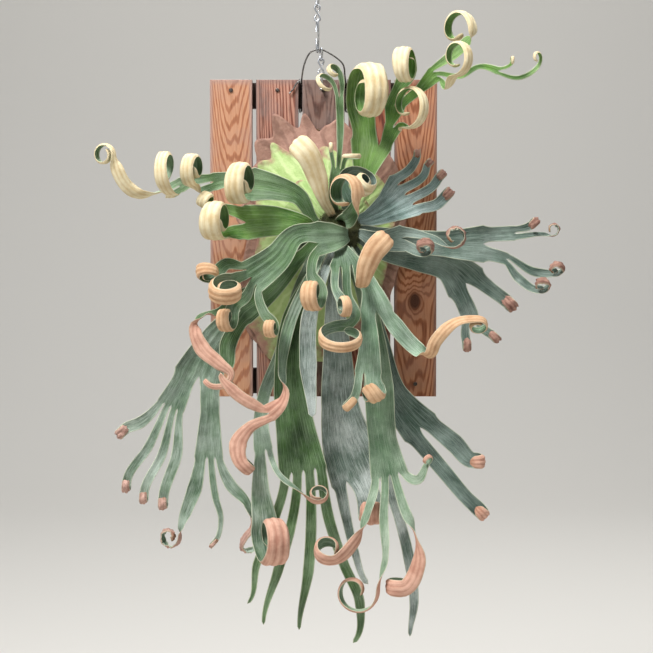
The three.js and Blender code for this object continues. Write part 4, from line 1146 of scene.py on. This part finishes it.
CREAM_FELT = "eadfbd", "cbb385"
TAN_FELT = "e2be98", "b78a64"
SALMON_FELT = "deb29c", "ae7c68"
CRINKLED_FELT = "cfaa9b", "8f6a5e"
BROWN_FELT = "ad8878", "744f44"
LEAF_LOOKS = {
    "young": ("young_leaf", "6a963a", "33601f", "b4c99a", 0.25, *CREAM_FELT, 0.1),
    "cream": ("pale_leaf", "55783f", "2f5126", "b7c8b2", 0.4, *CREAM_FELT, 0.1),
    "pale": ("pale_leaf", "517541", "294826", "afc2ac", 0.5, *TAN_FELT, 0.2),
    "tan": ("felt_leaf", "5a7a50", "335038", "bccbbd", 0.45, *TAN_FELT, 0.1),
    "mint": ("pale_leaf", "769674", "46674a", "c2d2c2", 0.6, *TAN_FELT, 0.5),
    "rosy": ("pale_leaf", "6f8f6b", "405f41", "c0ceba", 0.6, *SALMON_FELT, 0.5),
    "crinkled": ("pale_leaf", "5d795a", "324a34", "bdcabd", 0.65, *CRINKLED_FELT, 0.6),
    "silver": ("pale_leaf", "62776a", "34463b", "ced6d2", 0.8, *SALMON_FELT, 0.3),
    # The deep look is painted shade: a darker copy of the leaf green for the long leaves that hang in shadow
    # below the crown.
    "deep": ("dark_leaf", "43682c", "1d3815", "9db392", 0.3, *SALMON_FELT, 0.2),
    "dark": ("dark_leaf", "4d6657", "24372d", "adbcb2", 0.6, *BROWN_FELT, 0.95),
    "frosted": ("dark_leaf", "67827a", "3a524a", "c2cfcd", 0.7, *BROWN_FELT, 0.95),
    "fold": ("dark_leaf", "4a6b4c", "213b28", "a8bab8", 0.5, *CREAM_FELT, 0.1),
    "drop": ("dark_leaf", "4a6254", "22352c", "a5b5ac", 0.45, *SALMON_FELT, 0.4),
    "salmon": ("felt_leaf", "66815f", "3e5a43", "c3cfc2", 0.45, *SALMON_FELT, 0.2),
}
leaf_looks = {
    look: (slot, leaf_material(look + "_leaf_skin", *settings))
    for look, (slot, *settings) in LEAF_LOOKS.items()
}
leaf_seeds = random.Random(11)


def frond(name, look, angle, lean, leaf):
    """A leaf that starts on the crown, at an angle round it and a lean toward the front."""
    turn, forward = math.radians(angle), math.radians(lean)
    way = Vector((math.cos(turn) * math.cos(forward), -math.sin(forward), math.sin(turn) * math.cos(forward)))
    sizes = Vector((CROWN_RADIUS, CROWN_DEPTH, CROWN_RADIUS))
    tangent = Vector((way.x / sizes.x, way.y / sizes.y, way.z / sizes.z)).normalized()
    place = way * sizes + tangent * BASE_GAP + Vector((CROWN_X, BOARD_FRONT - CROWN_OUT, CROWN_Z))
    start = {"place": place, "width": BASE_WIDTH, "tangent": tangent,
             "normal": square_to(knot_at(leaf["run"][0])[2], tangent)}
    sheet = Sheet(leaf_seeds.random() * 50, CRUMPLED if look in CRUMPLED_LOOKS else 0)
    stalk_end = {**start, "travelled": 0, "curled": 0}
    first = add_row(sheet, stalk_end, columns_of(leaf), BASE_WIDTH, (0, 0, lambda sample: 0),
                    lambda u, sample, width: (0, 1))
    grow(sheet, leaf, start, first, 0, 0)
    slot, material = leaf_looks[look]
    made = skin(sheet, name.replace("frond_", "leaf_"))
    made.data.materials.append(material)
    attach(made, "root")
    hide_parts(name)


frond("frond_top_right", "young", 68, 0, blade([[66, 84, -308, 20], [73, 84, -276, 42],
    [80, 84, -248, 62]], forks(
    wide(2.2, blade([[68, 82, -214, 50], [62, 82, -180, 58, "FFFR"]], roll("U", 47, 17, 1.35, -2, 0.5))),
    blade([[112, 90, -224, 34]], forks(
        blade([[115, 92, -192, 42]], forks(
            blade([[124, 110, -160, 26], [134, 114, -138, 40, "FFFL"]], roll("U", 30, 13, 1.25, 8, 0.5)),
            blade([[154, 96, -164, 20], [174, 104, -144, 34]], forks(
                blade([[202, 108, -114, 22], [220, 112, -98, 24, "FL"], [232, 116, -78, 26, "LB"]],
                    roll("U", 30, 11, 0.95)),
                blade([[214, 106, -146, 11], [242, 108, -132, 10], [268, 112, -138, 16]], forks(
                    blade([[290, 116, -124, 7]], roll("U", 6, 4, 0.9)),
                    blade([[304, 108, -148, 9], [333, 110, -120, 9, "FL"]], roll("U", 9, 5, 0.8)),
                )),
                blade([[192, 118, -164, 15, "FU"], [206, 146, -146, 26, "U"]],
                    roll("FR", 27, 12, 1.1, 0, 0.5)),
            )),
        )),
        blade([[138, 132, -223, 26, "U"]], roll("FR", 33, 13, 1.1, 10, 0.5)),
    )),
)))

frond("frond_top_strap", "cream", 100, 12, blade([[24, 112, -312, 13], [30, 112, -286, 20]], forks(
    blade([[20, 116, -254, 8]], roll("U", 8, 5, 0.9)),
    blade([[34, 112, -230, 14], [33, 112, -180, 16]], forks(
        blade([[20, 116, -152, 11, "FL"]], roll("UL", 17, 11, 0.8)),
        blade([[36, 110, -152, 11], [30, 112, -136, 13, "FL"]], roll("UL", 12, 7, 0.8)),
    )),
    blade([[47, 122, -266, 10]], roll("R", 17, 12, 0.7)),
)))

frond("frond_far_left", "cream", 158, 0, blade([[-30, 94, -324, 26], [-64, 94, -312, 38],
    [-96, 92, -307, 50]], forks(
    blade([[-120, 110, -330, 32, "FU"], [-117, 138, -334, 44, "U"]], roll("FFFL", 31, 12, 1.3, -8, 0.5)),
    blade([[-132, 90, -299, 28], [-154, 91, -303, 36]], forks(
        blade([[-177, 110, -317, 22, "FU"], [-189, 134, -308, 30, "U"]],
            roll("FFFL", 24, 10, 1.3, -6, 0.6)),
        blade([[-188, 91, -302, 22], [-204, 92, -308, 30]], forks(
            blade([[-220, 116, -326, 18, "FU"], [-218, 142, -322, 30, "U"]],
                roll("FFFL", 34, 14, 1.1, 16, 0.6)),
            blade([[-238, 98, -319, 24, "U"], [-264, 110, -323, 26, "BU"], [-284, 118, -311, 26, "B"],
                [-299, 126, -286, 26, "B"], [-304, 128, -264, 17, "LLB"]], roll("U", 17, 9, 1.2)),
        )),
    )),
)))

frond("frond_left_broad", "young", 182, 8, blade([[-20, 104, -368, 28], [-62, 102, -362, 44],
    [-106, 102, -364, 52]], forks(
    blade([[-136, 120, -382, 38, "FU"], [-154, 150, -388, 48, "U"]], roll("FFFL", 28, 13, 1.3, -6, 0.5)),
    blade([[-136, 101, -344, 20], [-154, 108, -344, 22], [-172, 124, -340, 28, "FU"]],
        roll("FFL", 12, 7, 1.1, -4, 0.6)),
)))

frond("frond_cream_band", "cream", 112, 36, blade([[10, 120, -332, 16, "B"], [0, 134, -298, 30, "B"],
    [-20, 146, -256, 36, "B"]], roll("UL", 18, 10, 0.9, 0, 0.8)))

frond("frond_peach_ring", "pale", 84, 58, blade([[44, 130, -360, 26], [56, 156, -346, 26, "FL"],
    [62, 188, -322, 28, "LB"]], roll("U", 28, 15, 0.85)))

frond("frond_crown_fold", "fold", 58, 20, blade([[48, 112, -338, 26], [38, 120, -304, 18],
    [54, 126, -288, 26, "FD"], [74, 128, -298, 28, "FD"]], roll("RD", 18, 7, 1.4)))

frond("frond_centre_left", "pale", 340, 62, blade([[42, 120, -384, 24, "FR"], [24, 130, -386, 42],
    [2, 132, -388, 52]], forks(
    wide(0.9, blade([[-9, 142, -440, 20], [2, 148, -468, 40, "FFFL"]], roll("D", 25, 10, 1.3, 4, 0.6))),
    wide(1.6, blade([[-30, 130, -382, 40], [-62, 134, -418, 58], [-98, 138, -445, 72]], forks(
        blade([[-80, 142, -500, 20], [-66, 144, -520, 26, "FFFL"]], roll("D", 14, 7, 1.2)),
        blade([[-108, 128, -476, 22], [-126, 118, -490, 28], [-129, 120, -506, 32, "FFFL"]],
            roll("D", 19, 8, 1.3, 4, 0.6)),
        blade([[-118, 152, -446, 28, "FFD"], [-132, 160, -453, 42, "FFD"]], roll("L", 27, 12, 1.3, 0, 0.6)),
        blade([[-136, 132, -426, 24], [-160, 128, -444, 32, "FFU"]], roll("L", 19, 8, 1.3, -6, 0.5)),
    ))),
)))

frond("frond_centre_curls", "tan", 268, 44, blade([[38, 124, -410, 28], [42, 134, -426, 48]], forks(
    blade([[66, 150, -460, 20, "FFU"], [68, 170, -456, 30, "U"], [75, 180, -428, 42, "BU"],
        [92, 180, -398, 46, "B"]], roll("UR", 18, 9, 0.9)),
    blade([[46, 144, -476, 18], [56, 150, -506, 24, "FD"], [40, 156, -518, 28, "FFD"]],
        roll("L", 36, 22, 1.0)),
    blade([[27, 158, -464, 15], [37, 168, -486, 24, "FFFR"]], roll("D", 17, 9, 1.2, 4, 0.6)),
)))

frond("frond_mint_fork", "mint", 300, 28, blade([[62, 118, -434, 22], [80, 126, -464, 28],
    [88, 132, -496, 50]], forks(
    blade([[118, 140, -520, 34], [150, 142, -554, 30], [166, 154, -564, 24, "BU"],
        [178, 166, -542, 26, "B"], [210, 164, -512, 24, "BD"], [240, 160, -508, 18, "DB"]],
        roll("R", 15, 7, 1.2)),
    blade([[78, 138, -548, 40], [76, 140, -588, 54]], forks(
        wide(1.8, blade([[88, 146, -614, 38]], roll("DDR", 15, 8, 1.3, 12, 0.6))),
        blade([[50, 148, -634, 18]], roll("DL", 13, 6, 1.3)),
    )),
)))

frond("frond_lower_right", "rosy", 288, 6, blade([[62, 108, -446, 22], [84, 108, -530, 30],
    [92, 114, -610, 44], [98, 122, -690, 42], [108, 128, -742, 56]], forks(
    blade([[148, 136, -752, 20], [168, 138, -724, 11, "FL"]], roll("UR", 8, 5, 0.9)),
    blade([[132, 142, -798, 20], [148, 150, -836, 22, "R"], [152, 158, -880, 32, "BBR"],
        [126, 160, -918, 34, "B"]], roll("L", 20, 11, 0.9)),
    blade([[100, 138, -812, 18], [103, 146, -870, 18, "FL"], [92, 154, -920, 22, "LLLB"]],
        roll("D", 35, 9, 1.15)),
    blade([[74, 142, -806, 22, "FL"], [57, 154, -846, 30, "LB"], [18, 162, -876, 36, "BU"]],
        roll("L", 21, 12, 0.9)),
)))

frond("frond_lower_broad", "silver", 264, 0, blade([[26, 94, -474, 26], [30, 92, -560, 42],
    [34, 90, -640, 56], [48, 88, -704, 80], [64, 88, -744, 92]], forks(
    blade([[122, 92, -806, 20], [138, 94, -870, 22], [146, 94, -940, 18], [140, 94, -990, 6]], points("D")),
    wide(2, blade([[80, 98, -796, 52]], roll("D", 18, 9, 1.2))),
    blade([[42, 90, -802, 20], [56, 90, -860, 16], [76, 90, -910, 10]], points("DR")),
)))

frond("frond_centre_long", "deep", 240, 10, blade([[0, 106, -436, 24], [-34, 110, -510, 38],
    [-42, 112, -600, 46], [-32, 114, -680, 60], [-22, 116, -736, 72]], forks(
    blade([[16, 114, -806, 22], [40, 112, -880, 20], [64, 112, -940, 20], [54, 110, -1000, 8]],
        points("DL")),
    blade([[-10, 108, -830, 22], [-14, 104, -890, 22], [-28, 100, -980, 6]], points("D")),
    blade([[-42, 106, -830, 20], [-60, 102, -890, 20], [-82, 98, -972, 6]], points("D")),
    blade([[-68, 104, -820, 18], [-92, 100, -880, 16], [-106, 98, -940, 6]], points("DL")),
)))

frond("frond_silver_ribbon", "silver", 254, 34, blade([[12, 128, -434, 14], [-12, 132, -506, 24],
    [-14, 132, -580, 26], [-8, 132, -656, 10]], points("D")))

frond("frond_salmon_lobe", "salmon", 216, 0, blade([[-20, 94, -444, 16], [-56, 92, -560, 18],
    [-84, 96, -640, 18], [-82, 116, -704, 28]], forks(
    blade([[-56, 140, -746, 12, "FU"], [-28, 148, -768, 15, "U"], [0, 150, -786, 16, "BU"]],
        roll("R", 15, 9, 1.1)),
    wide(1.6, blade([[-86, 124, -768, 36], [-80, 128, -828, 58, "FFFR"]], roll("D", 43, 14, 1.25, 0, 0.5))),
)))

frond("frond_left_twist", "deep", 202, 20, blade([[-22, 106, -412, 18], [-76, 106, -466, 38],
    [-114, 104, -492, 54]], forks(
    blade([[-134, 112, -546, 34], [-140, 118, -586, 26]], points("DL")),
    blade([[-148, 108, -500, 24, "FU"], [-172, 122, -502, 24, "U"], [-184, 136, -522, 24, "BU"],
        [-174, 142, -552, 32, "B"], [-148, 146, -576, 26, "B"], [-130, 146, -594, 13, "B"],
        [-142, 147, -609, 12, "B"], [-166, 146, -606, 11, "B"]], roll("UL", 6, 4, 0.9)),
)))

frond("frond_pink_ribbon", "salmon", 232, 22, blade([[-8, 116, -440, 15], [-46, 120, -530, 18],
    [-54, 132, -590, 16, "FR"], [-50, 142, -626, 18, "BR"], [-72, 148, -650, 28, "B"]], forks(
    blade([[-100, 154, -636, 24, "B"], [-128, 158, -616, 24, "B"], [-146, 158, -590, 8, "B"]], points("U")),
    blade([[-104, 148, -674, 24, "B"], [-120, 150, -698, 36, "B"], [-112, 154, -730, 26, "B"]],
        roll("DR", 16, 8, 1.0)),
)))

frond("frond_lower_left", "crinkled", 194, 0, blade([[-44, 84, -420, 24], [-106, 82, -490, 32],
    [-156, 82, -546, 48], [-178, 82, -594, 76]], forks(
    blade([[-162, 84, -650, 38], [-164, 84, -716, 58]], forks(
        blade([[-132, 90, -758, 24], [-106, 98, -790, 20, "FR"], [-104, 110, -832, 15, "RB"]],
            roll("DL", 30, 12, 0.8)),
        blade([[-154, 90, -778, 14], [-146, 94, -812, 10], [-156, 96, -846, 9]], roll("DL", 9, 5, 1.0)),
        wide(1.5, blade([[-186, 88, -766, 30], [-198, 90, -798, 24], [-206, 92, -822, 18, "FL"],
            [-208, 94, -838, 16, "LLB"]], roll("D", 18, 6, 1.2))),
    )),
    blade([[-220, 80, -638, 58]], forks(
        blade([[-212, 84, -712, 22], [-233, 88, -784, 20]], roll("D", 10, 5, 1.1)),
        blade([[-234, 84, -712, 18], [-262, 88, -776, 18]], roll("D", 9, 5, 1.1)),
        blade([[-254, 84, -700, 18], [-288, 88, -758, 18]], roll("D", 10, 5, 1.1)),
        blade([[-266, 82, -664, 24], [-292, 86, -676, 22]], roll("LD", 11, 6, 1.1)),
    )),
)))

frond("frond_right_up", "frosted", 32, 0, blade([[74, 76, -358, 24], [102, 64, -344, 44],
    [130, 58, -324, 74]], forks(
    blade([[140, 56, -282, 18], [149, 56, -262, 14]], roll("U", 6, 4, 0.9)),
    blade([[160, 56, -292, 16], [166, 56, -276, 14]], roll("UR", 7, 4, 1.0)),
    blade([[174, 58, -308, 18], [184, 58, -294, 18]], roll("UR", 8, 5, 1.1)),
    blade([[180, 58, -336, 22], [194, 58, -322, 22]], roll("UR", 8, 5, 1.1)),
)))

frond("frond_right_long", "dark", 6, 0, blade([[92, 82, -382, 22], [130, 76, -390, 32], [190, 70, -396, 38],
    [248, 66, -396, 56]], forks(
    blade([[294, 64, -380, 30]], forks(
        blade([[322, 66, -366, 18]], roll("UR", 9, 5, 1.1)),
        blade([[340, 68, -382, 12, "FU"], [352, 68, -384, 11, "U"]], roll("R", 10, 5, 0.9)),
    )),
    blade([[282, 62, -418, 24]], forks(
        blade([[326, 60, -438, 18], [356, 60, -441, 18, "FU"]], roll("R", 12, 6, 1.1)),
        blade([[300, 64, -446, 18], [334, 74, -466, 18, "FU"]], roll("R", 13, 6, 1.1)),
    )),
)))

frond("frond_right_low", "dark", 340, 0, blade([[90, 72, -406, 20], [148, 54, -420, 32],
    [196, 50, -430, 46], [222, 50, -454, 66]], forks(
    blade([[260, 54, -464, 28], [286, 56, -484, 26]], roll("RD", 12, 7, 1.2)),
    blade([[228, 52, -502, 36]], forks(
        blade([[252, 56, -526, 18], [264, 58, -534, 18]], roll("RD", 10, 6, 1.1)),
        blade([[222, 56, -534, 18], [224, 58, -546, 18]], roll("D", 10, 6, 1.1)),
    )),
)))

frond("frond_right_bud", "dark", 356, 24, blade([[88, 104, -390, 26], [126, 104, -388, 40]], forks(
    blade([[172, 104, -388, 18, "FU"], [204, 106, -402, 20, "U"]], roll("R", 17, 8, 1.0)),
    blade([[158, 112, -410, 24, "FU"]], roll("R", 14, 7, 1.1)),
)))

frond("frond_right_drop", "drop", 314, 0, blade([[68, 86, -446, 20], [92, 78, -540, 28],
    [114, 74, -620, 40], [154, 70, -672, 62]], forks(
    blade([[206, 70, -696, 38], [236, 72, -722, 32]], roll("R", 14, 9, 0.7)),
    blade([[192, 72, -740, 30], [226, 74, -780, 28], [243, 76, -796, 30]], roll("RD", 14, 9, 0.7)),
)))
